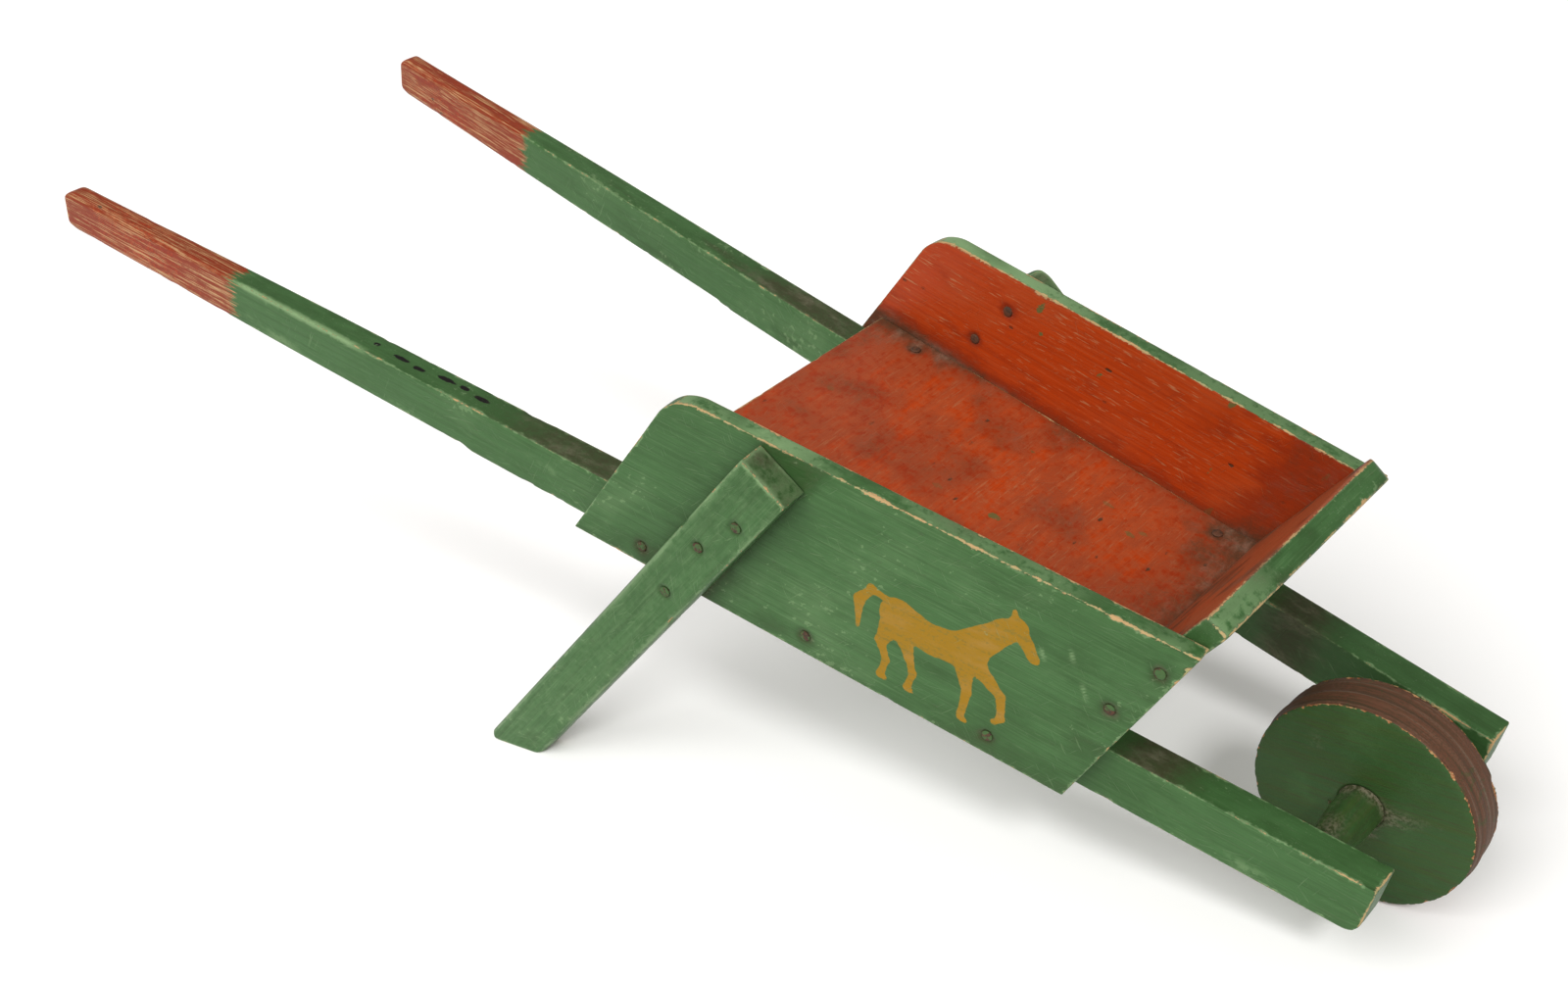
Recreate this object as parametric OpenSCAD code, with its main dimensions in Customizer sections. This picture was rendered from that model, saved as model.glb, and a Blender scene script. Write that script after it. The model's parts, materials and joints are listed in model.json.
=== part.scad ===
// Child's wooden wheelbarrow with a solid disc wheel.
// Two spreading shafts carry a nailed-up tray, two leaning legs and a wheel on a wooden axle.
// +X is forward, towards the wheel. +Y is the left side. +Z is up. The feet and the wheel stand on Z = 0.
// The origin is on the ground, under the middle of the whole length.
// The wood is laid out first with the tops of the shafts level, then tipped until it stands.

/* [Shafts] */
// length of each shaft, from its front end to the end of the grip, mm
shaft_length = 1000; // [800:10:1200]
// width of each shaft from side to side, mm
shaft_width = 22; // [18:0.5:28]
// height of each shaft at the tray, mm
shaft_height = 36; // [32:1:46]
// clear width between the shafts at their front ends, mm
front_gap = 122; // [100:2:150]
// angle that each shaft spreads away from the centre line, degrees
spread_angle = 4.7; // [3:0.1:6]
// width of the shaft at the very end of the grip, mm
grip_width = 16; // [12:0.5:18]
// height of the shaft at the very end of the grip, mm
grip_height = 32; // [24:1:32]
// distance behind the front ends where the underside of each shaft is shaved thinner, mm
shave_start = 608; // [560:2:700]

/* [Tray] */
// thickness of the two side boards, mm
board_thickness = 11.5; // [9:0.5:16]
// height of the side boards above the tops of the shafts, mm
board_top = 98; // [80:1:130]
// depth of the side boards below the tops of the shafts, mm
board_drop = 38; // [36:1:50]
// distance behind the front ends to the upper front corner of a side board, mm
side_front_top = 116; // [105:1:125]
// distance behind the front ends to the lower front corner of a side board, mm
side_front_low = 168; // [160:1:185]
// distance behind the front ends to the upper rear corner of a side board, mm
side_rear_top = 446; // [420:2:470]
// distance behind the front ends to the lower rear corner of a side board, mm
side_rear_low = 515; // [500:1:545]
// radius of the upper rear corner of a side board, mm
corner_radius = 33; // [15:1:45]
// thickness of the floor board, mm
floor_thickness = 16; // [12:0.5:20]
// distance behind the front ends to the rear edge of the floor board, mm
floor_rear = 478; // [460:1:490]
// thickness of the leaning front board, mm
front_thickness = 15.5; // [12:0.5:20]
// angle that the front board leans forward, degrees
front_lean = 27.4; // [20:0.2:32]
// distance behind the front ends to the foot of the front board's inner face, mm
front_foot = 174; // [165:1:190]
// how far the front board stands above the side boards, measured along its slope, mm
front_rise = 19; // [8:1:30]

/* [Legs] */
// width of each leg, mm
leg_width = 36; // [28:1:42]
// thickness of each leg, mm
leg_thickness = 20; // [16:0.5:26]
// length of each leg along its middle, from its top end to the ground, mm
leg_length = 378; // [330:2:420]
// angle that each leg leans back from upright, measured against the shafts, degrees
leg_lean = 29; // [22:0.5:32]
// distance behind the front ends to the middle of a leg's top end, mm
leg_top_back = 367; // [350:1:390]
// height of the middle of a leg's top end above the tops of the shafts, mm
leg_top_height = 87; // [70:1:88]
// width of the bevel worn along the outer edges of each leg, mm
leg_bevel = 5; // [2:0.5:7]

/* [Wheel] */
// radius of the wheel, mm
wheel_radius = 64.5; // [55:0.5:76]
// thickness of the wheel, mm
wheel_thickness = 30; // [24:1:40]
// distance behind the front ends to the middle of the axle, mm
axle_back = 37.5; // [32:0.5:60]
// distance of the middle of the axle below the tops of the shafts, mm
axle_below = 20; // [16:0.5:22]
// radius of the axle where it goes through the wheel, mm
hub_radius = 13.5; // [11:0.5:18]
// radius of the axle beside the shafts, mm
neck_radius = 11; // [9.5:0.5:13]
// radius of the round pins at the ends of the axle, mm
pin_radius = 7; // [5:0.5:8.5]
// depth of the blind holes in the shafts, mm
hole_depth = 14; // [10:0.5:17]
// gap all round each pin in its hole, mm
running_clearance = 0.08; // [0.03:0.01:0.1]
// gap between the shoulders of the axle and the shafts, mm
side_play = 1; // [0.6:0.1:2]

/* [Nails] */
// radius of the nail heads, mm
head_radius = 3.5; // [2.5:0.25:4.5]
// height of the nail heads, mm
head_height = 1.4; // [1:0.1:2]
// how far the nail heads stand out of the wood, mm
head_proud = 0.4; // [0.2:0.1:0.6]
// radius of the nail shanks, mm
shank_radius = 1.5; // [1:0.1:2]

/* [Hidden] */
$fn = 96;
half_front = front_gap / 2 + shaft_width;   // outer face of a shaft from the centre line, at its front end
spread_slope = tan(spread_angle);
back_slope = tan(front_lean);
rear_slope = (side_rear_low - side_rear_top) / (board_top + board_drop);
lead_slope = (side_front_low - side_front_top) / (board_top + board_drop);

// The tip of the whole barrow: the wheel and the middle of each foot touch the ground together.
foot_x = -(leg_top_back + leg_length * sin(leg_lean)) * cos(spread_angle);
foot_z = leg_top_height - leg_length * cos(leg_lean);
reach = -axle_back - foot_x;
drop = -axle_below - foot_z;
tilt = acos(wheel_radius / sqrt(reach * reach + drop * drop)) - atan2(reach, drop);

// Rounding of the ends of the shafts, seen from the side.
grip_round = 10;
nose_round = 9;
end_tip_x = -(shaft_length - grip_round) * cos(tilt) - (grip_height - grip_round) * sin(tilt) - grip_round;
wheel_front_x = -axle_back * cos(tilt) - axle_below * sin(tilt) + wheel_radius;
move_x = -(end_tip_x + wheel_front_x) / 2;
move_z = wheel_radius - axle_back * sin(tilt) + axle_below * cos(tilt);

// The axle: the shoulders stop short of the slanting inner faces of the shafts.
shaft_face = front_gap / 2 + axle_back * spread_slope;
shoulder = shaft_face - neck_radius * spread_slope - side_play;
pin_end = shaft_face + hole_depth - 1;
hub_length = wheel_thickness / 2 + 16;

side_nail_length = 28;
front_nail_length = 36;
leg_nail_length = 27;
inner_nail_length = 26;
floor_nail_length = 34;
side_nail_xs = [218, 341, 462];      // distances behind the front ends
side_nail_z = -24.5;
front_nail_zs = [38, 77];
leg_nail_spots = [[42, 6], [79, -2], [130, 2]];   // along the leg, across the leg
inner_nail_spots = [[19, -4], [58, -7]];
floor_nail_xs = [195, 439];
toe_nail_radius = 1.2;
toe_nail_length = 17;
toe_nail_start = hub_radius + 5;     // distance from the middle of the axle where a toe nail enters
toe_nail_slant = 35;
far = 3000;

green = [0.24, 0.43, 0.27];
red = [0.66, 0.24, 0.12];
tread_green = [0.22, 0.40, 0.24];
iron = [0.27, 0.22, 0.19];

// Tips the level layout until the feet and the wheel stand on the ground.
module on_ground() {
  translate([move_x, 0, move_z]) rotate([0, tilt, 0]) children();
}

// Lays a thing against the outer face of the right shaft: +X forward, -Y outward.
module right_side() {
  translate([0, -half_front, 0]) rotate([0, 0, spread_angle]) children();
}

module left_side() {
  mirror([0, 1, 0]) right_side() children();
}

// Turns an outline drawn as [x, z] into a slab from y_low to y_high.
module slab(y_low, y_high) {
  translate([0, y_high, 0]) rotate([90, 0, 0]) linear_extrude(height = y_high - y_low) children();
}

// A nail driven along -Z, its head standing a little out of the plane Z = 0.
module nail(length) {
  translate([0, 0, head_proud - head_height]) cylinder(r = head_radius, h = head_height);
  translate([0, 0, head_proud - length]) cylinder(r = shank_radius, h = length - head_height);
}

// ---- outlines, seen from the side ----

module shaft_outline() {
  union() {
    polygon([
      [0, 0], [-shaft_length + grip_round, 0], [-shaft_length, -grip_round],
      [-shaft_length, -grip_height + grip_round], [-shaft_length + grip_round, -grip_height],
      [-shave_start - 8, -shaft_height + 2], [-shave_start, -shaft_height],
      [-nose_round, -shaft_height], [0, -shaft_height + nose_round]
    ]);
    translate([-shaft_length + grip_round, -grip_round]) circle(r = grip_round);
    translate([-shaft_length + grip_round, -grip_height + grip_round]) circle(r = grip_round);
    translate([-nose_round, -shaft_height + nose_round]) circle(r = nose_round);
  }
}

// The upper rear corner of a side board is rounded: the circle touches both edges.
rear_turn = 90 - atan(rear_slope);              // angle of the sloping rear edge above level
corner_back = corner_radius * tan((180 - (180 - rear_turn)) / 2);
corner_x = -side_rear_top + corner_back;
corner_z = board_top - corner_radius;
module side_board_outline() {
  union() {
    polygon([
      [-side_front_top, board_top], [corner_x, board_top],
      [corner_x - corner_radius * sin(rear_turn), corner_z + corner_radius * cos(rear_turn)],
      [-side_rear_low, -board_drop], [-side_front_low, -board_drop]
    ]);
    translate([corner_x, corner_z]) circle(r = corner_radius);
  }
}

front_slope_length = (board_top - floor_thickness) / cos(front_lean) + front_rise;
module front_board_outline() {
  in_x = -front_foot + front_slope_length * sin(front_lean);
  in_z = floor_thickness + front_slope_length * cos(front_lean);
  polygon([
    [-front_foot, floor_thickness], [in_x, in_z],
    [in_x + front_thickness * cos(front_lean), in_z - front_thickness * sin(front_lean)],
    [-front_foot + front_thickness / cos(front_lean), floor_thickness]
  ]);
}

// ---- the wood, laid out level ----

module right_shaft_wood() {
  intersection() {
    slab(-far, far) shaft_outline();
    translate([0, 0, -shaft_height - 1]) linear_extrude(height = shaft_height + 2) polygon([
      [0, -half_front], [0, -half_front + shaft_width],
      [-side_rear_low, -half_front + shaft_width - side_rear_low * spread_slope],
      [-shaft_length, -half_front + grip_width - shaft_length * spread_slope],
      [-shaft_length, -half_front - shaft_length * spread_slope]
    ]);
  }
}

// Long wedges that ease the four edges of the right grip towards its end.
module right_grip_easing() {
  ease = 3.2;
  run = 210;
  for (up = [0, 1]) for (out = [0, 1])
    translate([
      -shaft_length - 1,
      -half_front - (shaft_length + 1) * spread_slope + (out == 1 ? 0 : grip_width),
      up == 1 ? 0 : -grip_height
    ])
      rotate([0, 0, spread_angle + (out == 1 ? 0 : 0.72)])
        rotate([0, (up == 1 ? 1 : -1) * 0.6, 0])
          rotate([45, 0, 0]) translate([-5, -ease / 1.4142, -ease / 1.4142])
            cube([run, ease * 1.4142, ease * 1.4142]);
}

module side_board_wood() {
  slab(-board_thickness, 0) side_board_outline();
}

module floor_board_wood() {
  front_x = -front_foot + front_thickness / cos(front_lean);
  side_y = half_front + floor_rear * spread_slope;
  front_y = half_front - front_x * spread_slope;
  linear_extrude(height = floor_thickness)
    polygon([[front_x, -front_y], [front_x, front_y], [-floor_rear, side_y], [-floor_rear, -side_y]]);
}

module front_board_wood() {
  intersection() {
    slab(-far, far) front_board_outline();
    linear_extrude(height = far) polygon([
      [0, -half_front], [0, half_front],
      [-shaft_length, half_front + shaft_length * spread_slope],
      [-shaft_length, -half_front - shaft_length * spread_slope]
    ]);
  }
}

module leg_wood() {
  translate([-leg_top_back, -board_thickness, leg_top_height]) rotate([0, leg_lean, 0])
    translate([0, 0, -leg_length - 60]) linear_extrude(height = leg_length + 60) polygon([
      [leg_width / 2, 0], [-leg_width / 2, 0],
      [-leg_width / 2, -leg_thickness + leg_bevel], [-leg_width / 2 + leg_bevel, -leg_thickness],
      [leg_width / 2 - leg_bevel, -leg_thickness], [leg_width / 2, -leg_thickness + leg_bevel]
    ]);
}

module wheel_place() {
  translate([-axle_back, 0, -axle_below]) rotate([-90, 0, 0]) children();
}

// ---- nails of the right side, in the frame of the right side ----

module side_board_nails() {
  for (x = side_nail_xs)
    translate([-x, -board_thickness, side_nail_z]) rotate([90, 0, 0]) nail(side_nail_length);
}

module front_board_nails() {
  for (z = front_nail_zs)
    translate([
      (-front_foot + (z - floor_thickness) * back_slope + front_thickness / cos(front_lean) / 2)
        / cos(spread_angle),
      -board_thickness, z
    ]) rotate([90, 0, 0]) nail(front_nail_length);
}

module leg_spot(along, across, y) {
  translate([-leg_top_back, y, leg_top_height]) rotate([0, leg_lean, 0])
    translate([across, 0, -along]) children();
}

module leg_nails() {
  for (s = leg_nail_spots)
    leg_spot(s[0], s[1], -board_thickness - leg_thickness) rotate([90, 0, 0]) nail(leg_nail_length);
}

module leg_inner_nails() {
  for (s = inner_nail_spots)
    leg_spot(s[0], s[1], 0) rotate([-90, 0, 0]) nail(inner_nail_length);
}

module floor_nails() {
  for (x = floor_nail_xs)
    translate([-x, shaft_width / 2, floor_thickness]) nail(floor_nail_length);
}

module toe_nails() {
  for (side = [0, 1]) mirror([0, 0, side]) for (turn = [100, 150])
    rotate([0, 0, turn]) translate([toe_nail_start, 0, -wheel_thickness / 2])
      rotate([0, -toe_nail_slant, 0]) translate([0, 0, -0.6])
        cylinder(r = toe_nail_radius, h = toe_nail_length);
}

// ---- nodes ----

module right_shaft_level() {
  difference() {
    right_shaft_wood();
    right_grip_easing();
    right_side() side_board_nails();
    right_side() leg_nails();
    right_side() floor_nails();
    wheel_place() cylinder(r = pin_radius + running_clearance, h = 2 * (shaft_face + hole_depth), center = true);
  }
}

module right_shaft() {
  color(green) on_ground() right_shaft_level();
}

module left_shaft() {
  color(green) on_ground() mirror([0, 1, 0]) right_shaft_level();
}

module floor_board() {
  color(red) on_ground() difference() {
    floor_board_wood();
    right_side() floor_nails();
    left_side() floor_nails();
  }
}

module side_board_level() {
  difference() {
    side_board_wood();
    side_board_nails();
    front_board_nails();
    leg_nails();
    leg_inner_nails();
  }
}

module right_side_board() {
  color(green) on_ground() right_side() side_board_level();
}

module left_side_board() {
  color(green) on_ground() left_side() side_board_level();
}

module front_board() {
  color(green) on_ground() difference() {
    front_board_wood();
    right_side() front_board_nails();
    left_side() front_board_nails();
  }
}

module leg_level() {
  difference() {
    leg_wood();
    leg_nails();
    leg_inner_nails();
  }
}

module right_leg() {
  color(green) intersection() {
    on_ground() right_side() leg_level();
    translate([-far / 2, -far / 2, 0]) cube([far, far, far]);
  }
}

module left_leg() {
  color(green) intersection() {
    on_ground() left_side() leg_level();
    translate([-far / 2, -far / 2, 0]) cube([far, far, far]);
  }
}

module wheel() {
  rim = wheel_radius;
  half = wheel_thickness / 2;
  color(tread_green) on_ground() wheel_place() difference() {
    rotate_extrude() polygon([
      [hub_radius, -half], [rim - 1, -half], [rim, -half + 1],
      [rim, half - 1], [rim - 1, half], [hub_radius, half]
    ]);
    toe_nails();
  }
}

module axle() {
  color(green) on_ground() wheel_place() difference() {
    rotate_extrude() polygon([
      [0, -pin_end], [pin_radius, -pin_end], [pin_radius, -shoulder], [neck_radius, -shoulder],
      [neck_radius, -shoulder + 6], [hub_radius, -hub_length], [hub_radius, hub_length],
      [neck_radius, shoulder - 6], [neck_radius, shoulder], [pin_radius, shoulder],
      [pin_radius, pin_end], [0, pin_end]
    ]);
    toe_nails();
  }
}

module wheel_toe_nails() {
  color(iron) on_ground() wheel_place() toe_nails();
}

module right_side_board_nails() {
  color(iron) on_ground() right_side() side_board_nails();
}

module left_side_board_nails() {
  color(iron) on_ground() left_side() side_board_nails();
}

module right_front_board_nails() {
  color(iron) on_ground() right_side() front_board_nails();
}

module left_front_board_nails() {
  color(iron) on_ground() left_side() front_board_nails();
}

module right_leg_nails() {
  color(iron) on_ground() right_side() leg_nails();
}

module left_leg_nails() {
  color(iron) on_ground() left_side() leg_nails();
}

module right_leg_inner_nails() {
  color(iron) on_ground() right_side() leg_inner_nails();
}

module left_leg_inner_nails() {
  color(iron) on_ground() left_side() leg_inner_nails();
}

module right_floor_nails() {
  color(iron) on_ground() right_side() floor_nails();
}

module left_floor_nails() {
  color(iron) on_ground() left_side() floor_nails();
}

right_shaft();
left_shaft();
floor_board();
right_side_board();
left_side_board();
front_board();
right_leg();
left_leg();
wheel();
axle();
wheel_toe_nails();
right_side_board_nails();
left_side_board_nails();
right_front_board_nails();
left_front_board_nails();
right_leg_nails();
left_leg_nails();
right_leg_inner_nails();
left_leg_inner_nails();
right_floor_nails();
left_floor_nails();
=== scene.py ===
"""Child's wooden wheelbarrow: hand-sawn boards in worn green and red paint.

Every piece of wood is a rounded block worked out with numpy, worn along its edges, and then bent
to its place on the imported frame. Lengths are in metres. +X is forward, +Y is left, +Z is up.
"""

import itertools
import json
import math

import bpy
import numpy as np
from bpy.props import FloatProperty, FloatVectorProperty, PointerProperty
from mathutils import Matrix, Vector


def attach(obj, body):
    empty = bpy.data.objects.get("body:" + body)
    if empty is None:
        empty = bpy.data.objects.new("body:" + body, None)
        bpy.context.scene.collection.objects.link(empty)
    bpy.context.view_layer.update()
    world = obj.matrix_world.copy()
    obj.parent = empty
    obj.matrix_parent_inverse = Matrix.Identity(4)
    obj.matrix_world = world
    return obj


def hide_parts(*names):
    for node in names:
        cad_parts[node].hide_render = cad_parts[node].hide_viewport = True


bl_info = {
    "name": "Wooden wheelbarrow",
    "version": (1, 0, 0),
    "blender": (4, 5, 0),
    "location": "3D View > Sidebar > Barrow",
    "description": "Worn boards, wheel, nails and paint of a child's wooden wheelbarrow",
    "category": "Object",
}

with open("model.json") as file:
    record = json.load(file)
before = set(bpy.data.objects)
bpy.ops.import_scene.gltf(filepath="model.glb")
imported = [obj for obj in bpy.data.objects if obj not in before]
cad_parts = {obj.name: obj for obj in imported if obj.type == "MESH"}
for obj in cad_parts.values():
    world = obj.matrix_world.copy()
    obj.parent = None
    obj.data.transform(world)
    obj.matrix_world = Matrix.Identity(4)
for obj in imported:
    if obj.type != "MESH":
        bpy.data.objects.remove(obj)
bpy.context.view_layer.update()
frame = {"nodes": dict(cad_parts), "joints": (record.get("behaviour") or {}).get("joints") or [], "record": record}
AXLE = np.array(frame["joints"][0]["pos_m"])
MM = 0.001
RIGHT, LEFT = -1, 1


# ---- sizes and colours that a user would change ----


def length(name, description, millimetres):
    """A length property whose default is given in millimetres."""
    return FloatProperty(name=name, description=description, default=millimetres * MM,
                         unit="LENGTH", subtype="DISTANCE")


def angle(name, description, degrees):
    """An angle property whose default is given in degrees."""
    return FloatProperty(name=name, description=description, default=math.radians(degrees),
                         unit="ROTATION", subtype="ANGLE")


def colour(name, description, rgb):
    """A colour property."""
    return FloatVectorProperty(name=name, description=description, default=rgb, size=3,
                               subtype="COLOR", min=0, max=1)


class BarrowSizes(bpy.types.PropertyGroup):
    """Sizes of the wood, laid out with the tops of the shafts level."""

    shaft_length: length("Shaft length", "Length of each shaft", 1000)
    shaft_width: length("Shaft width", "Width of each shaft", 22)
    shaft_height: length("Shaft height", "Height of each shaft at the tray", 36)
    front_gap: length("Front gap", "Clear width between the shafts' front ends", 122)
    spread: angle("Spread", "Angle of each shaft away from the centre line", 4.7)
    grip_width: length("Grip width", "Width of the shaft at the end of the grip", 16)
    grip_height: length("Grip height", "Height of the shaft at the end of the grip", 32)
    grip_round: length("Grip rounding", "Radius of the grip's end, seen from the side", 10)
    nose_round: length("Nose rounding", "Radius under the front end of a shaft", 9)
    shave_start: length("Shave start", "Where the underside of a shaft is shaved thinner", 608)
    shave_depth: length("Shave depth", "Depth of the step where the shaving starts", 2)
    board_thickness: length("Board thickness", "Thickness of the side boards", 11.5)
    board_top: length("Board top", "Height of the side boards above the shafts", 98)
    board_drop: length("Board drop", "Depth of the side boards below the shaft tops", 38)
    side_front_top: length("Front top", "Upper front corner of a side board", 116)
    side_front_low: length("Front low", "Lower front corner of a side board", 168)
    side_rear_top: length("Rear top", "Upper rear corner of a side board", 446)
    side_rear_low: length("Rear low", "Lower rear corner of a side board", 515)
    corner_radius: length("Corner radius", "Radius of the upper rear corner", 33)
    floor_thickness: length("Floor thickness", "Thickness of the floor board", 16)
    floor_rear: length("Floor rear", "Rear edge of the floor board", 478)
    front_thickness: length("Front board", "Thickness of the leaning front board", 15.5)
    front_lean: angle("Front lean", "Angle that the front board leans forward", 27.4)
    front_foot: length("Front foot", "Foot of the front board's inner face", 174)
    front_rise: length("Front rise", "Front board above the side boards", 19)
    leg_width: length("Leg width", "Width of each leg", 36)
    leg_thickness: length("Leg thickness", "Thickness of each leg", 20)
    leg_length: length("Leg length", "Length of each leg along its middle", 378)
    leg_lean: angle("Leg lean", "Angle that each leg leans back", 29)
    leg_top_back: length("Leg top back", "Middle of a leg's top end", 367)
    leg_top_height: length("Leg top height", "Height of the middle of a leg's top end", 87)
    leg_bevel: length("Leg bevel", "Bevel worn along the outer edges of a leg", 5)
    wheel_radius: length("Wheel radius", "Radius of the wheel", 64.5)
    wheel_thickness: length("Wheel thickness", "Thickness of the wheel", 30)
    axle_back: length("Axle back", "Distance of the axle behind the front ends", 37.5)
    axle_below: length("Axle below", "Distance of the axle below the shaft tops", 20)
    hub_radius: length("Hub radius", "Radius of the axle in the wheel", 13.5)
    neck_radius: length("Neck radius", "Radius of the axle beside the shafts", 11)
    pin_radius: length("Pin radius", "Radius of the pins at the ends of the axle", 7)
    hole_radius: length("Hole radius", "Radius of the blind holes in the shafts", 7.08)
    hole_depth: length("Hole depth", "Depth of the blind holes in the shafts", 14)
    side_play: length("Side play", "Gap between the axle's shoulders and the shafts", 1)
    head_radius: length("Nail head", "Radius of the nail heads", 3.5)
    shank_radius: length("Nail shank", "Radius of the nail shanks", 1.5)


class BarrowFinish(bpy.types.PropertyGroup):
    """Colours of the paint and the wood, and how far they are worn."""

    green: colour("Green", "Main green paint", (0.049, 0.124, 0.038))
    # Deep green is also the shaded copy of the green, laid as painted shade where the darkening layer is high.
    deep_green: colour("Deep green", "Darker green in strokes and patches", (0.027, 0.068, 0.018))
    mint: colour("Mint", "Rubbed green paint along edges", (0.19, 0.30, 0.14))
    wheel_green: colour("Wheel green", "Darker green of the wheel and its axle", (0.034, 0.064, 0.014))
    red: colour("Red", "Orange-red paint of the tray", (0.40, 0.044, 0.004))
    # Deep red is also the shaded copy of the red, laid as painted shade where the darkening layer is high.
    deep_red: colour("Deep red", "Darker red in strokes and patches", (0.21, 0.020, 0.004))
    rubbed_red: colour("Rubbed red", "Rubbed red paint along edges", (0.34, 0.095, 0.035))
    grip_red: colour("Grip red", "Brown-red of the grips", (0.185, 0.034, 0.009))
    bare: colour("Bare wood", "Bare wood where the paint is gone", (0.46, 0.28, 0.13))
    old_wood: colour("Old wood", "Brown wood of the wheel's tread", (0.105, 0.044, 0.024))
    # With the dust colour, this colour also lays the film of painted shade in seams, corners and undersides.
    grime: colour("Grime", "Dark dirt in the corners", (0.040, 0.032, 0.016))
    dust: colour("Dust", "Grey dust and faded paint", (0.17, 0.14, 0.10))
    ochre: colour("Ochre", "Yellow paint of the pony", (0.27, 0.142, 0.002))
    pitch: colour("Pitch", "Black drops on the right shaft", (0.006, 0.005, 0.004))
    iron: colour("Iron", "Rusted nail iron", (0.045, 0.03, 0.02))
    wear: FloatProperty(name="Wear", description="How deep the edges are worn, 1 is as found",
                        default=1.0, min=0, max=2, subtype="FACTOR")


def sizes():
    """The sizes in use."""
    return bpy.context.scene.barrow_sizes


def finish():
    """The colours in use."""
    return bpy.context.scene.barrow_finish


# ---- random but repeatable unevenness ----


def noise(points, spacing, seed):
    """Smooth noise from -1 to 1: random values on a box lattice of that spacing, each pair of
    neighbours blended by the curve 3t^2 - 2t^3. The lattice repeats after 24 boxes."""
    cells, away_from_seams = 24, 24 * 8.37
    table = np.random.default_rng(seed).uniform(-1, 1, (cells, cells, cells))
    scaled = points / np.asarray(spacing) + away_from_seams
    cell = np.floor(scaled).astype(int)
    t = scaled - cell
    t = t * t * (3 - 2 * t)
    total = np.zeros(len(points))
    for corner in itertools.product((0, 1), repeat=3):
        weight = np.prod(np.where(np.array(corner) == 1, t, 1 - t), axis=1)
        i, j, k = ((cell + corner) % cells).T
        total += weight * table[i, j, k]
    return total


def rough(points, spacing, seed, layers=3):
    """Layers of noise, each at half the spacing and half the height of the last."""
    spacing = np.asarray(spacing, float)
    return sum(noise(points, spacing / 2 ** n, seed + n) / 2 ** n for n in range(layers)) / 1.6


def smooth(value, low, high):
    """0 below low, 1 above high, and 3t^2 - 2t^3 between them."""
    t = np.clip((value - low) / (high - low), 0, 1)
    return t * t * (3 - 2 * t)


def stretch_of(value, start, full, fade, end):
    """0 before the start, 1 from full to fade, 0 again after the end, and eased between them."""
    return smooth(value, start, full) * (1 - smooth(value, fade, end))


# ---- frames ----


def to_ground(points):
    """Tips the level layout onto its wheel and feet: a turn about Y that brings the tray floor's
    normal to where the frame has it, then a move that brings the axle to its joint."""
    s = sizes()
    mount = next(m for m in frame["record"]["mounts"] if m["name"] == "tray_floor")
    tilt = math.atan2(mount["axis"][0], mount["axis"][2])
    turn = np.array([[math.cos(tilt), 0, math.sin(tilt)], [0, 1, 0],
                     [-math.sin(tilt), 0, math.cos(tilt)]])
    axle = np.array([-s.axle_back, 0, -s.axle_below])
    return (points - axle) @ turn.T + AXLE


def from_side(points, side):
    """From the right shaft's outer face (x forward, y inward, z up) to the level layout. The left
    side is its mirror image."""
    s = sizes()
    x, y, z = points.T
    half = s.front_gap / 2 + s.shaft_width
    level_y = -half + x * math.sin(s.spread) + y * math.cos(s.spread)
    return np.column_stack([x * math.cos(s.spread) - y * math.sin(s.spread),
                            level_y if side == RIGHT else -level_y, z])


def leg_point(along, across, y):
    """A point of the leg, along it from its top end and across it, in the side's frame."""
    s = sizes()
    c, n = math.cos(s.leg_lean), math.sin(s.leg_lean)
    along, across, y = np.broadcast_arrays(along, across, y)
    return np.column_stack([np.ravel(v) for v in (
        -s.leg_top_back + across * c - along * n, y, s.leg_top_height - across * n - along * c)])


def from_line(points, centre, axis):
    """How far each point is along a line through the centre, and how far away from it."""
    offset = points - centre
    along = offset @ axis
    return along, np.linalg.norm(offset - along[:, None] * axis, axis=1)


def grid_faces(rows, columns, first=0, loop=False):
    """Four-sided faces of a grid of points that closes round its columns, and with loop round
    its rows too. First is the index of its first point."""
    index = first + np.arange(rows * columns).reshape(rows, columns)
    below = np.roll(index, -1, axis=0)
    faces = np.stack([index, below, np.roll(below, -1, axis=1), np.roll(index, -1, axis=1)], -1)
    return faces[:rows if loop else -1].reshape(-1, 4)


def closed_faces(rows, columns, first=0):
    """The faces of a grid, and fans of triangles that close its ends. The two points after the
    grid are the fans' middles."""
    index = first + np.arange(rows * columns).reshape(rows, columns)
    middle = np.full(columns, first + rows * columns)
    fans = np.vstack([np.column_stack([middle, index[0], np.roll(index[0], -1)]),
                      np.column_stack([middle + 1, np.roll(index[-1], -1), index[-1]])])
    return grid_faces(rows, columns, first), fans


# ---- the rounded block that every piece of wood starts as ----


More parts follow.
